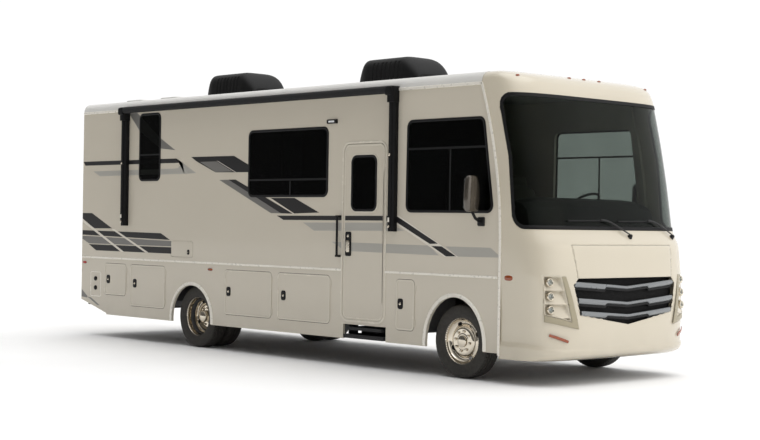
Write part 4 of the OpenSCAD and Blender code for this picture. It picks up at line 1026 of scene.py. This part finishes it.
# ---------------------------------------------------------------- storage doors
# Radiused luggage doors, each with a black rubber bulb seal in its gap and a square black slam
# latch with a round key barrel.
right_bays = [
    (-6.960, -6.410, 0.600), (-6.310, -5.470, 0.470), (-4.150, -3.190, 0.470), (-3.080, -2.090, 0.470),
    (-0.965, -0.658, 0.470),
]
left_bays = [(-6.960, -5.470, 0.600), (-4.150, -3.190, 0.470), (-3.080, -2.090, 0.470)]
doors = [("right", -1, k + 1, bay) for k, bay in enumerate(right_bays)]
doors += [("left", 1, k + 1, bay) for k, bay in enumerate(left_bays)]
for side_name, sign, k, (x0, x1, z0) in doors:
    framed(
        f"storage_seal_{side_name}_{k}", box_corners(x0, x1, z0, 1.050), 0.055, sign, 0.010, -0.003,
        black_rubber, coach, sink=0.008, shift=-0.002
    )
latches = [
    (f"storage_door_right_{k + 1}", x, z, -1) for k,
    (x, z) in enumerate(
        [(-6.857, 0.823), (-6.192, 0.790), (-4.064, 0.770), (-2.958, 0.770), (-0.885, 0.770)]
    )
]
latches += [
    (f"storage_door_left_{k + 1}", x, 0.780, 1) for k, x in enumerate([-6.857, -4.064, -2.958])
] + [("utility_hatch", -4.950, 1.250, -1)]
# Each storage door's rim is the lightened gelcoat: a painted highlight on its raised edge.
for side_name, sign, k, (x0, x1, z0) in doors:
    framed(
        f"storage_door_rim_{side_name}_{k}", box_corners(x0 + 0.005, x1 - 0.005, z0 + 0.005, 1.045),
        0.050, sign, 0.020, 0.005, rim_painted_highlight, f"storage_door_{side_name}_{k}", shift=-0.011
    )
for body, x, z, sign in latches:
    half = 0.038 if body != "utility_hatch" else 0.019
    plate = box_corners(x - half, x + half, z - 1.45 * half, z + 1.45 * half)
    framed(f"{body}_latch_ring", plate, half * 0.6, sign, 0.010, 0.005, frame_black, body)
    raised(
        f"{body}_latch", loop(plate, half * 0.6), sign,
        [(0, -0.002), (0, 0.007), (0.10, 0.010), (0.42, 0.010), (0.48, 0.005)], frame_black, body
    )
    lathe(
        f"{body}_lock", (x + axle, sign * (half_width + 0.002), z), (0, sign, 0),
        [(0.0, 0.0), (half * 0.42, 0.0), (half * 0.42, 0.008), (half * 0.3, 0.011), (0.0, 0.010)], chrome_painted_warm,
        body, 24
    )

# ---------------------------------------------------------------- belt, arches and drip rail
# Bright extruded belt moulding along both sides, thick bright lips round the wheel arches, and
# a drip rail screwed under the roof's edge.
for name, sign, runs in (
    ("right", -1, [(-7.545, -1.898), (-1.140, 0.590)]), ("left", 1, [(-7.545, 0.590)])
):
    for k, (x0, x1) in enumerate(runs):
        strip(
            f"belt_moulding_{name}_{k + 1}", (x0, 1.120), (x1, 1.120), 0.026, 0.007, sign, trim_white,
            coach
        )
    strip(f"drip_rail_{name}", (-7.545, 3.192), (0.330, 3.192), 0.034, 0.012, sign, trim_white, coach)
arch_pts = np.linspace(0, np.pi, 49)
for name, sign in (("right", -1), ("left", 1)):
    for place, middle, rise in (("front", -0.040, 0.075), ("rear", -4.866, 0.008)):
        high = 2 * 0.405 + rise - 0.380
        flat = np.stack(
            [middle - 0.440 * np.cos(arch_pts), 0.380 + (high + 0.005) * np.sin(arch_pts)], -1
        )
        flat = np.concatenate([[(middle - 0.440, 0.328)], flat, [(middle + 0.440, 0.328)]])
        step = np.gradient(flat, axis=0)
        step /= np.linalg.norm(step, axis=1, keepdims=True)
        outward = np.stack([-step[:, 1], 0 * step[:, 0], step[:, 0]], -1)
        path = np.stack([flat[:, 0] + axle, 0 * flat[:, 0] + sign * half_width, flat[:, 1]], -1)
        swept(
            f"arch_lip_{place}_{name}", path, outward, (0, sign, 0),
            [
                (-0.004, -0.012), (-0.006, 0.010), (0.004, 0.018), (0.026, 0.016), (0.038, 0.006),
                (0.038, -0.002)
            ],
            trim_white, coach, smooth=False
        )

# ---------------------------------------------------------------- service panel and markers
# A small white-edged panel behind the rear wheel with two capped inlets, and side markers.
framed(
    "service_panel_edge", box_corners(-7.310, -7.050, 0.570, 0.915), 0.020, -1, 0.010, 0.003, trim_white,
    coach
)
for k, z in enumerate((0.690, 0.820)):
    lathe(
        f"service_inlet_{k + 1}", (-7.180 + axle, -half_width - 0.001, z), (0, -1, 0),
        [(0.0, 0.0), (0.032, 0.0), (0.032, 0.010), (0.026, 0.016), (0.006, 0.016), (0.0, 0.013)],
        frame_black, coach
    )
for name, sign in (("right", -1), ("left", 1)):
    for k, (x, z, skin) in enumerate([(-7.480, 1.043, red_lens), (-4.460, 1.038, amber)]):
        dome(
            f"side_marker_{name}_{k + 1}", (x + axle, sign * half_width, z), (1, 0, 0), (0, sign, 0),
            (0.100, 0.036, 0.020), skin, coach
        )
    g = sign * np.interp(-3.855, -ring_x[112], np.linspace(0, ring_len[112], 300)) * np.ones(1)
    out = normals(nose, g, np.array([1.122]))[0]
    along = np.cross((0, 0, 1.0), out)
    dome(
        f"cap_marker_{name}", nose(g, np.array([1.122]))[0] - out * 0.009, along / np.linalg.norm(along),
        out, (0.125, 0.062, 0.016), amber, coach
    )

# ---------------------------------------------------------------- tyres
# 225/70R19.5 all-position tyres: four grooves round the tread, slots across the shoulders, a
# rib where the tyre leaves the rim. No letters on the walls.
tyre_rubber = finish("tyre rubber", ("#2B2926", "#3A3732"), 0.03, (0.6, 0.8), relief=0.0006)
half_round = [
    (0.250, 0.0860), (0.262, 0.1010), (0.275, 0.1060), (0.300, 0.1110), (0.330, 0.1123), (0.355, 0.1105),
    (0.376, 0.1050), (0.388, 0.0990), (0.3965, 0.0900), (0.3985, 0.0800)
]
ribs = [
    (0.4000, 0.0700), (0.4010, 0.0625), (0.3910, 0.0615), (0.3910, 0.0545), (0.4020, 0.0535),
    (0.4035, 0.0250), (0.3920, 0.0240), (0.3920, 0.0165), (0.4040, 0.0155), (0.4045, 0.0)
]
right_side = np.array(half_round + ribs)
section = np.concatenate([right_side, (right_side * (1, -1))[::-1][1:]])


def tyre(name, centre, body):
    """r(a, k), y(k): the section turned about Y. Shoulder slots lower r by 9 mm wherever
    frac(60 a / 2 pi + slant y) < 0.2, for 60 mm < |y| < 95 mm."""
    a = np.linspace(0, 2 * np.pi, 300, endpoint=False)[:, None]
    r, y = section[:, 0][None, :], section[:, 1][None, :]
    slot = (
        np.mod(60 * a / (2 * np.pi) + 6.0 * np.abs(y), 1.0) < 0.2
    ) & (np.abs(y) > 0.060) & (np.abs(y) < 0.095)
    r = r - 0.009 * slot
    points = np.stack([r * np.sin(a), y + 0 * a, r * np.cos(a)], -1) + centre
    faces = grid_faces(300, section.shape[0], True, True)[:, ::-1]
    return solid_mesh(name, points, faces, tyre_rubber, body, smooth=False)


# ---------------------------------------------------------------- wheels
# Steel disc wheels under chromed liners: a rolled rim edge, a deep bowl with four hand holes,
# eight nut covers round the hub cover. The outer twin is dished in, the front ones stand out.
rim_steel = finish(
    "painted wheel steel", ("#3A3A3B", "#48484A"), 0.08, (0.4, 0.6), metallic=0.4, relief=0.0002
)
front_profile = [
    (0.262, 0.084), (0.258, 0.0905), (0.250, 0.088), (0.243, 0.078), (0.236, 0.060), (0.226, 0.046),
    (0.214, 0.036), (0.200, 0.030), (0.186, 0.032), (0.172, 0.044), (0.160, 0.060), (0.148, 0.070),
    (0.136, 0.073), (0.100, 0.073), (0.088, 0.072), (0.078, 0.074), (0.0005, 0.075)
]
rear_profile = [
    (0.262, 0.084), (0.258, 0.0905), (0.250, 0.088), (0.243, 0.076), (0.238, 0.040), (0.232, 0.000),
    (0.224, -0.040), (0.212, -0.062), (0.198, -0.066), (0.184, -0.066), (0.172, -0.064), (0.160, -0.056),
    (0.148, -0.050), (0.136, -0.049), (0.110, -0.049), (0.100, -0.048), (0.0005, -0.048)
]


def wheel(name, centre, sign, profile, body):
    """y(r) turned about the axle as a sheet; hand holes are cut where the distance to one of
    four ellipses 52 x 34 mm at radius 200 mm is negative."""
    profile = np.array(profile)
    run = np.concatenate([[0], np.cumsum(np.hypot(*np.diff(profile, axis=0).T))])
    radius = lambda w: np.interp(w, run, profile[:, 0])
    height = lambda w: np.interp(w, run, profile[:, 1])
    face = lambda a, w: np.stack(
        [radius(w) * np.sin(a / 0.2), sign * height(w), radius(w) * np.cos(a / 0.2)], -1
    ) + centre
    reach = np.interp(-0.199, -profile[:, 0], run)

    def holes(a, w):
        b = (np.mod(a / 0.2 - 0.35, np.pi / 2) - np.pi / 4) * 0.2
        return 0.019 - np.hypot(b * 0.019 / 0.030, w - reach)

    bowl = cut_sheet(
        f"{name}_bowl", face, holes, np.linspace(0, 0.4 * np.pi, 169), np.linspace(0, run[-1], 64),
        chrome_painted_warm, body, 0.0025, (0, sign, 0)
    )
    at = np.array(centre) + (0, sign * profile[-1][1], 0)
    cup = [
        (0.0, 0.004), (0.062, 0.004), (0.064, 0.010), (0.060, 0.014), (0.044, 0.0145), (0.040, 0.0155),
        (0.0, 0.0155)
    ]
    deep = [
        (0.0, 0.0), (0.078, 0.0), (0.078, 0.060), (0.072, 0.072), (0.056, 0.078), (0.050, 0.082),
        (0.0, 0.084)
    ]
    lathe(f"{name}_hub_cover", at, (0, sign, 0), cup if profile[-1][1] > 0 else deep, chrome_painted_warm, body, 40)
    for k in range(8):
        turn_at = np.radians(45 * k + 10)
        spot = at + np.array([0.108 * np.sin(turn_at), 0, 0.108 * np.cos(turn_at)])
        lathe(
            f"{name}_nut_{k + 1}", spot, (0, sign, 0),
            [
                (0.0, -0.004), (0.017, -0.004), (0.0165, 0.006), (0.0145, 0.013), (0.008, 0.0155),
                (0.0, 0.016)
            ],
            chrome_painted_warm, body, 6, smooth=False
        )
    back = [
        (0.247, -sign * 0.0895), (0.238, -sign * 0.084), (0.232, 0.0), (0.230, sign * 0.030),
        (0.226, sign * 0.028), (0.226, -sign * 0.070), (0.240, -sign * 0.0905)
    ]
    lathe(f"{name}_barrel", centre, (0, 1, 0), back, rim_steel, body, 64, closed=True)
    return bowl


for side_name, sign in (("right", -1), ("left", 1)):
    hub_y = sign * 1.1105
    front_body, rear_body = f"front_wheel_{side_name}", f"rear_wheels_{side_name}"
    tread = tyre(f"front_tread_{side_name}", np.array([3.1125, hub_y, 0.405]), front_body)
    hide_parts(f"front_tyre_{side_name}")
    bowl = wheel(f"front_wheel_{side_name}", (3.1125, hub_y, 0.405), sign, front_profile, front_body)
    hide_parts(f"front_rim_{side_name}")
    for k, in_by in enumerate((0.0, 0.262)):
        tread = tyre(
            f"rear_tread_{side_name}_{k + 1}", np.array([-1.7135, hub_y - sign * in_by, 0.405]), rear_body
        )
        if k == 0:
            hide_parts(f"rear_tyres_{side_name}")
    bowl = wheel(f"rear_wheel_{side_name}", (-1.7135, hub_y, 0.405), sign, rear_profile, rear_body)
    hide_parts(f"rear_rims_{side_name}")
    inner = [
        (0.247, -0.0895), (0.238, -0.084), (0.232, 0.02), (0.16, 0.045), (0.052, 0.045), (0.052, 0.036),
        (0.16, 0.034), (0.226, 0.01), (0.226, -0.082), (0.240, -0.0905)
    ]
    lathe(
        f"rear_inner_wheel_{side_name}", (-1.7135, hub_y - sign * 0.262, 0.405), (0, sign, 0), inner,
        rim_steel, rear_body, 64, closed=True
    )

# ---------------------------------------------------------------- mirrors
# Dark bronze tapered shells on a slim arm from a square black base under the cab window, each
# with a flat glass in a rim on its rear face.
mirror_shell = finish(
    "bronze metallic paint", ("#4A443C", "#5A534A"), 0.2, (0.18, 0.28), metallic=0.6, coat=0.8
)
mirror_glass = finish("silvered mirror glass", ("#D8DCDE", "#E2E6E8"), 0.4, (0.01, 0.03), metallic=1.0)
for name, sign in (("right", -1), ("left", 1)):
    u, w = np.linspace(0, 2 * np.pi, 40, endpoint=False)[None, :], np.linspace(0, 1, 26)[:, None]
    e = lambda t, p: np.sign(t) * np.abs(t) ** p
    lift = np.sin(np.pi * np.clip(w, 0.002, 0.998)) ** 0.28
    wide = (0.108 - 0.026 * w**1.5) * lift
    deep = 0.044 * lift
    z = 1.812 + 0.386 * (0.5 - 0.5 * np.cos(np.pi * w))
    points = np.stack(
        [3.460 + deep * e(np.sin(u), 0.55), sign * 1.443 + wide * e(np.cos(u), 0.6), z + 0 * u], -1
    )
    solid_mesh(f"mirror_shell_{name}", points, capped_faces(26, 40), mirror_shell, coach)
    flat = loop([(-0.082, 1.845), (0.082, 1.845), (0.068, 2.165), (-0.068, 2.165)], 0.022)
    rows = [(1.0, 3.4165), (1.0, 3.4145), (0.94, 3.4138)]
    middle = flat.mean(0)
    points = np.concatenate(
        [
            np.stack(
                [
                    0 * flat[:, 0] + x, sign * 1.443 + (flat[:, 0] - middle[0]) * k,
                    middle[1] + (flat[:, 1] - middle[1]) * k
                ],
                -1
            ) for k,
            x in rows
        ]
    )
    solid_mesh(
        f"mirror_glass_{name}", points, capped_faces(3, len(flat)), mirror_glass, coach, smooth=False
    )
    arm = np.array(
        [
            (3.463, sign * 1.290, 1.709), (3.463, sign * 1.330, 1.716), (3.461, sign * 1.385, 1.745),
            (3.460, sign * 1.425, 1.800), (3.460, sign * 1.435, 1.830)
        ]
    )
    t = np.linspace(0, 4, 25)
    arm = np.stack([np.interp(t, range(5), arm[:, k]) for k in range(3)], -1)
    ring_angle = np.linspace(0, 2 * np.pi, 14, endpoint=False)
    along = np.gradient(arm, axis=0)
    along /= np.linalg.norm(along, axis=1, keepdims=True)
    swept(
        f"mirror_arm_{name}", arm, (1, 0, 0), np.cross(along, (1, 0, 0)),
        np.stack([0.014 * np.cos(ring_angle), 0.017 * np.sin(ring_angle)], -1), frame_black, coach,
        smooth=True
    )
    raised(
        f"mirror_base_{name}", loop(box_corners(0.351 - 0.050, 0.351 + 0.044, 1.660, 1.758), 0.014), sign,
        [(0, -0.002), (0, 0.014), (0.12, 0.024), (0.5, 0.026)], frame_black, coach
    )
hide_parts("mirrors")

# ---------------------------------------------------------------- roof units
# Two low-profile air conditioners under black moulded shrouds, with ribbed flanks, a sloping
# nose and rear grille slots, and two white roof vents with raised lids.
shroud_black = finish(
    "black textured polypropylene", ("#0B0B0C", "#101011"), 0.02, (0.5, 0.65), relief=0.0003, gleam=0.25
)
for k, x in enumerate((-5.400, -2.200)):
    w, u = np.linspace(0, 1, 61)[:, None], np.linspace(0, 1, 41)[None, :]
    length, wide, high = 1.046, 0.716, 0.396
    plan_x = (w - 0.5) * length
    nose_ramp = np.clip((1 - w) / 0.28, 0, 1)
    tail_ramp = np.clip(w / 0.12, 0, 1)
    crest = high * (
        0.42 + 0.58 * np.sin(nose_ramp * np.pi / 2) ** 0.9
    ) * (0.60 + 0.40 * np.sin(tail_ramp * np.pi / 2))
    angle = np.pi * u
    rib = 1 - 0.035 * (np.mod(w * 14, 1) < 0.35) * (
        np.abs(np.cos(angle)) > 0.80
    ) * ((w > 0.25) & (w < 0.75))
    e = lambda t, p: np.sign(t) * np.abs(t) ** p
    half = wide / 2 * (0.80 + 0.20 * np.sin(np.clip(np.minimum(w, 1 - w) / 0.2, 0, 1) * np.pi / 2)) * rib
    points = np.stack(
        [
            axle + x + plan_x + 0 * u, -half * e(np.cos(angle), 0.42),
            3.346 + (crest - 0.012) * e(np.sin(angle), 0.42)
        ],
        -1
    )
    solid_mesh(
        f"air_conditioner_shroud_{k + 1}", points,
        grid_faces(61, 41).tolist() + [list(range(41))[::-1], list(range(60 * 41, 61 * 41))] + [
            [i * 41, (i + 1) * 41, (i + 1) * 41 + 40, i * 41 + 40][::-1] for i in range(60)
        ],
        shroud_black, coach, smooth=False
    )
    for j in range(6):
        path = np.array(
            [
                (axle + x - 0.520 + 0.012, -0.24, 3.42 + 0.022 * j),
                (axle + x - 0.520 + 0.012, 0.24, 3.42 + 0.022 * j)
            ]
        )
        swept(
            f"air_conditioner_slot_{k + 1}_{j + 1}", path, (0, 0, 1), (-1, 0, 0),
            [(-0.005, -0.01), (-0.003, 0.010), (0.003, 0.010), (0.005, -0.01)], frame_black, coach
        )
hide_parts("air_conditioners")
vent_white = finish("white polyethylene", ("#E6E5E1", "#F1F0EC"), 0.12, (0.35, 0.5), relief=0.0002)
for k, x in enumerate((-7.000, -6.150)):
    span = 0.205
    flat = loop(box_corners(x - span, x + span, -0.820 + 0.006, -0.400 - 0.006), 0.05)
    middle = flat.mean(0)
    levels = [
        (1.0, 3.334), (1.0, 3.350), (0.93, 3.352), (0.93, 3.372), (1.0, 3.374), (0.99, 3.390),
        (0.90, 3.398), (0.5, 3.402)
    ]
    points = np.concatenate(
        [
            np.stack(
                [
                    (flat[:, 0] - middle[0]) * s + middle[0] + axle,
                    (flat[:, 1] - middle[1]) * s + middle[1], 0 * flat[:, 0] + z
                ],
                -1
            ) for s,
            z in levels
        ]
    )
    solid_mesh(
        f"roof_vent_{k + 1}", points, capped_faces(len(levels), len(flat)), vent_white, coach,
        smooth=False
    )
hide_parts("roof_vents")

# ---------------------------------------------------------------- awning
# A powder-coated roller between two arms with end brackets and caps. The canopy is wound
# on the roller. Each arm has pivots and a pale tell-tale slot near its foot.
awning_black = finish(
    "black powder coated aluminium", ("#070708", "#0B0B0C"), 0.04, (0.45, 0.60), relief=0.0001, gleam=0.2
)
canvas = finish("black acrylic canvas", ("#101011", "#1B1B1C"), 0.004, (0.8, 0.95), relief=0.0008)
turns_at = np.linspace(0, 2 * np.pi, 28, endpoint=False)
roller_x = np.array([-6.370, -6.360, -1.060, -1.050]) + axle
roller = np.stack([roller_x, 0 * roller_x - half_width - 0.088, 0 * roller_x + 3.185], -1)
swept(
    "awning_canvas_roll", roller, (0, 1, 0), (0, 0, 1),
    np.stack([0.0445 * np.cos(turns_at), 0.0445 * np.sin(turns_at)], -1), canvas, coach, smooth=True
)
for k, x in enumerate((-6.425, -1.005)):
    strip(f"awning_arm_{k + 1}", (x, 1.583), (x, 3.190), 0.092, 0.074, -1, awning_black, coach)
    strip(
        f"awning_rafter_{k + 1}", (x, 1.640), (x, 3.160), 0.052, 0.094, -1, awning_black, coach,
        sink=-0.070
    )
    strip(f"awning_bracket_{k + 1}", (x, 3.045), (x, 3.226), 0.106, 0.112, -1, awning_black, coach)
    dome(
        f"awning_end_cap_{k + 1}", (axle + x, -half_width - 0.120, 3.170), (0, 0, 1), (0, -1, 0),
        (0.100, 0.120, 0.014), awning_black, coach, 4
    )
    strip(
        f"awning_tell_tale_{k + 1}", (x, 1.690), (x, 1.740), 0.030, 0.098, -1, trim_white, coach,
        sink=-0.090
    )
    for z in (1.640, 2.450):
        lathe(
            f"awning_pivot_{k + 1}_{int(z * 100)}", (axle + x, -half_width - 0.090, z), (0, -1, 0),
            [(0.0, 0.0), (0.016, 0.0), (0.016, 0.010), (0.011, 0.014), (0.0, 0.014)], chrome_painted_warm, coach, 20
        )

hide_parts("awning")

# ---------------------------------------------------------------- rear
# Red and clear acrylic lamp pairs with ribbed lenses, a black plastic bumper and the hitch.
for name, sign in (("right", -1), ("left", 1)):
    y, z = np.meshgrid(np.linspace(0, 1, 25), np.linspace(0, 1, 77))
    edge = np.clip(
        np.minimum.reduce([y, 1 - y]) / 0.10, 0, 1
    ) * np.clip(np.minimum(z, 1 - z) / 0.04, 0, 1)
    flute = 0.0012 * (np.mod(z * 38, 1) < 0.5) * (edge >= 1)
    x = -4.436 - 0.0195 * np.sin(edge * np.pi / 2) ** 0.5 + flute
    points = np.stack([x, sign * (1.003 + 0.120 * y), 0.960 + 0.380 * z], -1)
    lens_mesh = solid_mesh(
        f"tail_lens_{name}", points, grid_faces(77, 25), red_lens, coach, 0.003, smooth=False
    )
    lens_mesh.data.materials.append(lens_clear)
    shade = (z[:-1, :-1] > 0.40) & (z[:-1, :-1] < 0.56)
    lens_mesh.data.polygons.foreach_set("material_index", shade.ravel().astype(int))
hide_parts("tail_lamps")
for name, sign in (("right", -1), ("left", 1)):
    path = np.array([(-4.4470, sign * 1.255, 0.70), (-4.4470, sign * 1.255, 3.19)])
    swept(
        f"rear_corner_trim_{name}", path, (0, 1, 0), (-1, 0, 0),
        [(-0.020, -0.003), (-0.018, 0.004), (0.018, 0.004), (0.020, -0.003)], trim_white, coach
    )
for k, z in enumerate((1.120, 3.192)):
    path = np.array([(-4.4470, -1.24, z), (-4.4470, 1.24, z)])
    swept(
        f"rear_belt_{k + 1}", path, (0, 0, 1), (-1, 0, 0),
        [(-0.016, -0.003), (-0.013, 0.005), (0.013, 0.005), (0.016, -0.003)], trim_white, coach
    )
for k, y in enumerate((-1.0, -0.18, 0.0, 0.18, 1.0)):
    dome(
        f"rear_clearance_lamp_{k + 1}", (-4.4465, y, 3.120), (0, 1, 0), (-1, 0, 0), (0.090, 0.034, 0.009),
        red_lens, coach
    )

# ---------------------------------------------------------------- cab
# Two upholstered cab seats with bolsters and headrests, a grained dashboard with a raised cowl
# along its front, and a leather-wrapped wheel.
seat_cloth = finish("woven grey upholstery", ("#57534D", "#6E6960"), 0.003, (0.8, 0.95), relief=0.0010)
dash_plastic = finish("grained dash plastic", ("#2A2927", "#35332F"), 0.004, (0.5, 0.65), relief=0.0004)
leather = finish("stitched black leather", ("#161616", "#202020"), 0.006, (0.4, 0.55), relief=0.0005)


def pillow(name, centre, size, lean, skin, body, bolster=0.0):
    """A stuffed superellipsoid block, power 4 in plan, with side bolsters raised by
    bolster sin^2 over the outer fifth of its width, leaning back by lean radians."""
    a, t = np.linspace(
        0, 2 * np.pi, 48, endpoint=False
    )[None, :], np.linspace(-np.pi / 2, np.pi / 2, 25)[:, None]
    e = lambda v, p: np.sign(v) * np.abs(v) ** p
    x, y, z = e(
        np.cos(a), 0.5
    ) * e(np.cos(t), 0.5), e(np.sin(a), 0.5) * e(np.cos(t), 0.5), e(np.sin(t), 0.5) + 0 * a
    crown = 1 + bolster * np.clip((np.abs(y) - 0.55) / 0.45, 0, 1) ** 2
    seam = 1 - 0.02 * np.exp(-((z / 0.05) ** 2))
    p = np.stack([x * size[0] / 2 * seam * crown, y * size[1] / 2 * seam, z * size[2] / 2], -1)
    c, s = np.cos(lean), np.sin(lean)
    p = np.stack([c * p[..., 0] - s * p[..., 2], p[..., 1], s * p[..., 0] + c * p[..., 2]], -1) + centre
    p[0], p[-1] = p[0].mean(0), p[-1].mean(0)
    made = solid_mesh(name, p, grid_faces(25, 48, False, True), skin, body)
    return closed_up(made, 1e-5)


for name, y in (("right", -0.55), ("left", 0.55)):
    parts = [
        pillow(f"seat_cushion_{name}", (2.700, y, 1.540), (0.500, 0.500, 0.150), 0.06, seat_cloth, coach),
        pillow(
            f"seat_back_{name}", (2.385, y, 1.850), (0.130, 0.500, 0.620), 0.12, seat_cloth, coach, 0.35
        ),
        pillow(
            f"seat_headrest_{name}", (2.320, y, 2.190), (0.090, 0.280, 0.140), 0.10, seat_cloth, coach
        ),
    ]
    if name == "right":
        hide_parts("cab_seats")
    plinth = loop([(-0.20, -0.20), (0.20, -0.20), (0.20, 0.20), (-0.20, 0.20)], 0.04)
    levels = [(1.15, 1.122), (1.15, 1.140), (0.80, 1.160), (0.75, 1.430), (1.05, 1.470)]
    points = np.concatenate(
        [
            np.stack([plinth[:, 0] * s + 2.680, plinth[:, 1] * s + y, 0 * plinth[:, 0] + z], -1) for s,
            z in levels
        ]
    )
    solid_mesh(
        f"seat_plinth_{name}", points, capped_faces(5, len(plinth)), frame_black, coach, smooth=False
    )
dress("dashboard", dash_plastic)
cowl_y = np.linspace(-1.08, 1.08, 48)
cowl_path = np.stack([3.62 - 0.03 * np.abs(cowl_y) ** 3, cowl_y, 1.985 - 0.05 * (cowl_y / 1.08) ** 6], -1)
swept(
    "dash_cowl", cowl_path, (1, 0, 0), (0, 0, 1),
    [
        (0.0, -0.44), (0.0, -0.03), (0.02, -0.008), (0.06, 0.0), (0.18, -0.004), (0.27, -0.03),
        (0.34, -0.10), (0.40, -0.44)
    ],
    dash_plastic, coach
)
hub = Vector((axle + 0.220, 0.550, 1.930))
axis = np.array([-np.cos(np.radians(55)), 0, np.sin(np.radians(55))])
ring_turn = np.linspace(0, 2 * np.pi, 18, endpoint=False)
grip = lathe(
    "steering_grip", hub, axis,
    np.stack([0.210 + 0.0148 * np.cos(ring_turn), 0.0148 * np.sin(ring_turn)], -1), leather,
    "steering_wheel", 72, closed=True
)
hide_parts("steering_wheel")
lathe(
    "steering_hub", hub, axis,
    [(0.0, -0.020), (0.055, -0.020), (0.062, -0.005), (0.058, 0.010), (0.030, 0.016), (0.0, 0.017)],
    dash_plastic, "steering_wheel", 40
)
lathe(
    "steering_column", hub, axis,
    [(0.0, -0.479), (0.0275, -0.479), (0.0275, -0.06), (0.034, -0.05), (0.034, -0.015), (0.0, -0.015)],
    dash_plastic, "steering_wheel", 32
)
up = np.cross(axis, (0, 1, 0))
for k, turn_at in enumerate(np.radians([90, 210, 330])):
    ray_out = np.cos(turn_at) * np.array([0, 1.0, 0]) + np.sin(turn_at) * up
    path = np.array([np.array(hub) + ray_out * w for w in (0.040, 0.120, 0.200)])
    swept(
        f"steering_spoke_{k + 1}", path, np.cross(axis, ray_out), axis,
        [(-0.015, -0.006), (-0.012, 0.006), (0.012, 0.006), (0.015, -0.006)], dash_plastic,
        "steering_wheel"
    )

# ---------------------------------------------------------------- underbody and fittings
# Chassis in waxed black paint with road film, cast axles with rust bloom, a grit-coated step
# well, grey moulded luggage bays, plank flooring and black powder-coated fittings.
frame_paint = finish(
    "waxed chassis paint", ("#1C1C1D", "#2B2A28"), 0.25, (0.45, 0.7), relief=0.0004,
    dirt=("#6E6252", 0.9, 0.6)
)
cast_iron = finish(
    "cast iron", ("#2E2A27", "#4A3A2E"), 0.06, (0.6, 0.85), metallic=0.5, relief=0.0008,
    dirt=("#6E6252", 0.7, 0.5)
)
alloy = finish("cast aluminium", ("#7F8183", "#97999B"), 0.09, (0.4, 0.6), metallic=0.8, relief=0.0005)
bay_plastic = finish("rotomoulded polyethylene", ("#4A4B4C", "#565758"), 0.05, (0.5, 0.7), relief=0.0005)
planks = finish(
    "oak plank vinyl", ("#7A5E41", "#9C7C58"), 0.20, (0.35, 0.5), relief=0.0002, stretch=(0.15, 1.6, 1.0)
)
grit = finish("grit-coated black steel", ("#161617", "#303031"), 0.006, (0.7, 0.9), relief=0.0010)
for name, skin in (
    ("chassis_frame", frame_paint), ("engine", alloy), ("floor", planks), ("fuel_tank", bay_plastic),
    ("front_axle", cast_iron), ("rear_axle", cast_iron), (
        "knuckle_right", cast_iron
    ), ("knuckle_left", cast_iron),
    ("storage_bays", bay_plastic), ("entry_steps", grit), ("rear_bumper", frame_black), (
        "hitch_receiver", frame_paint
    ),
    ("grab_handle", frame_black),
):
    dress(name, skin)

low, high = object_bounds()
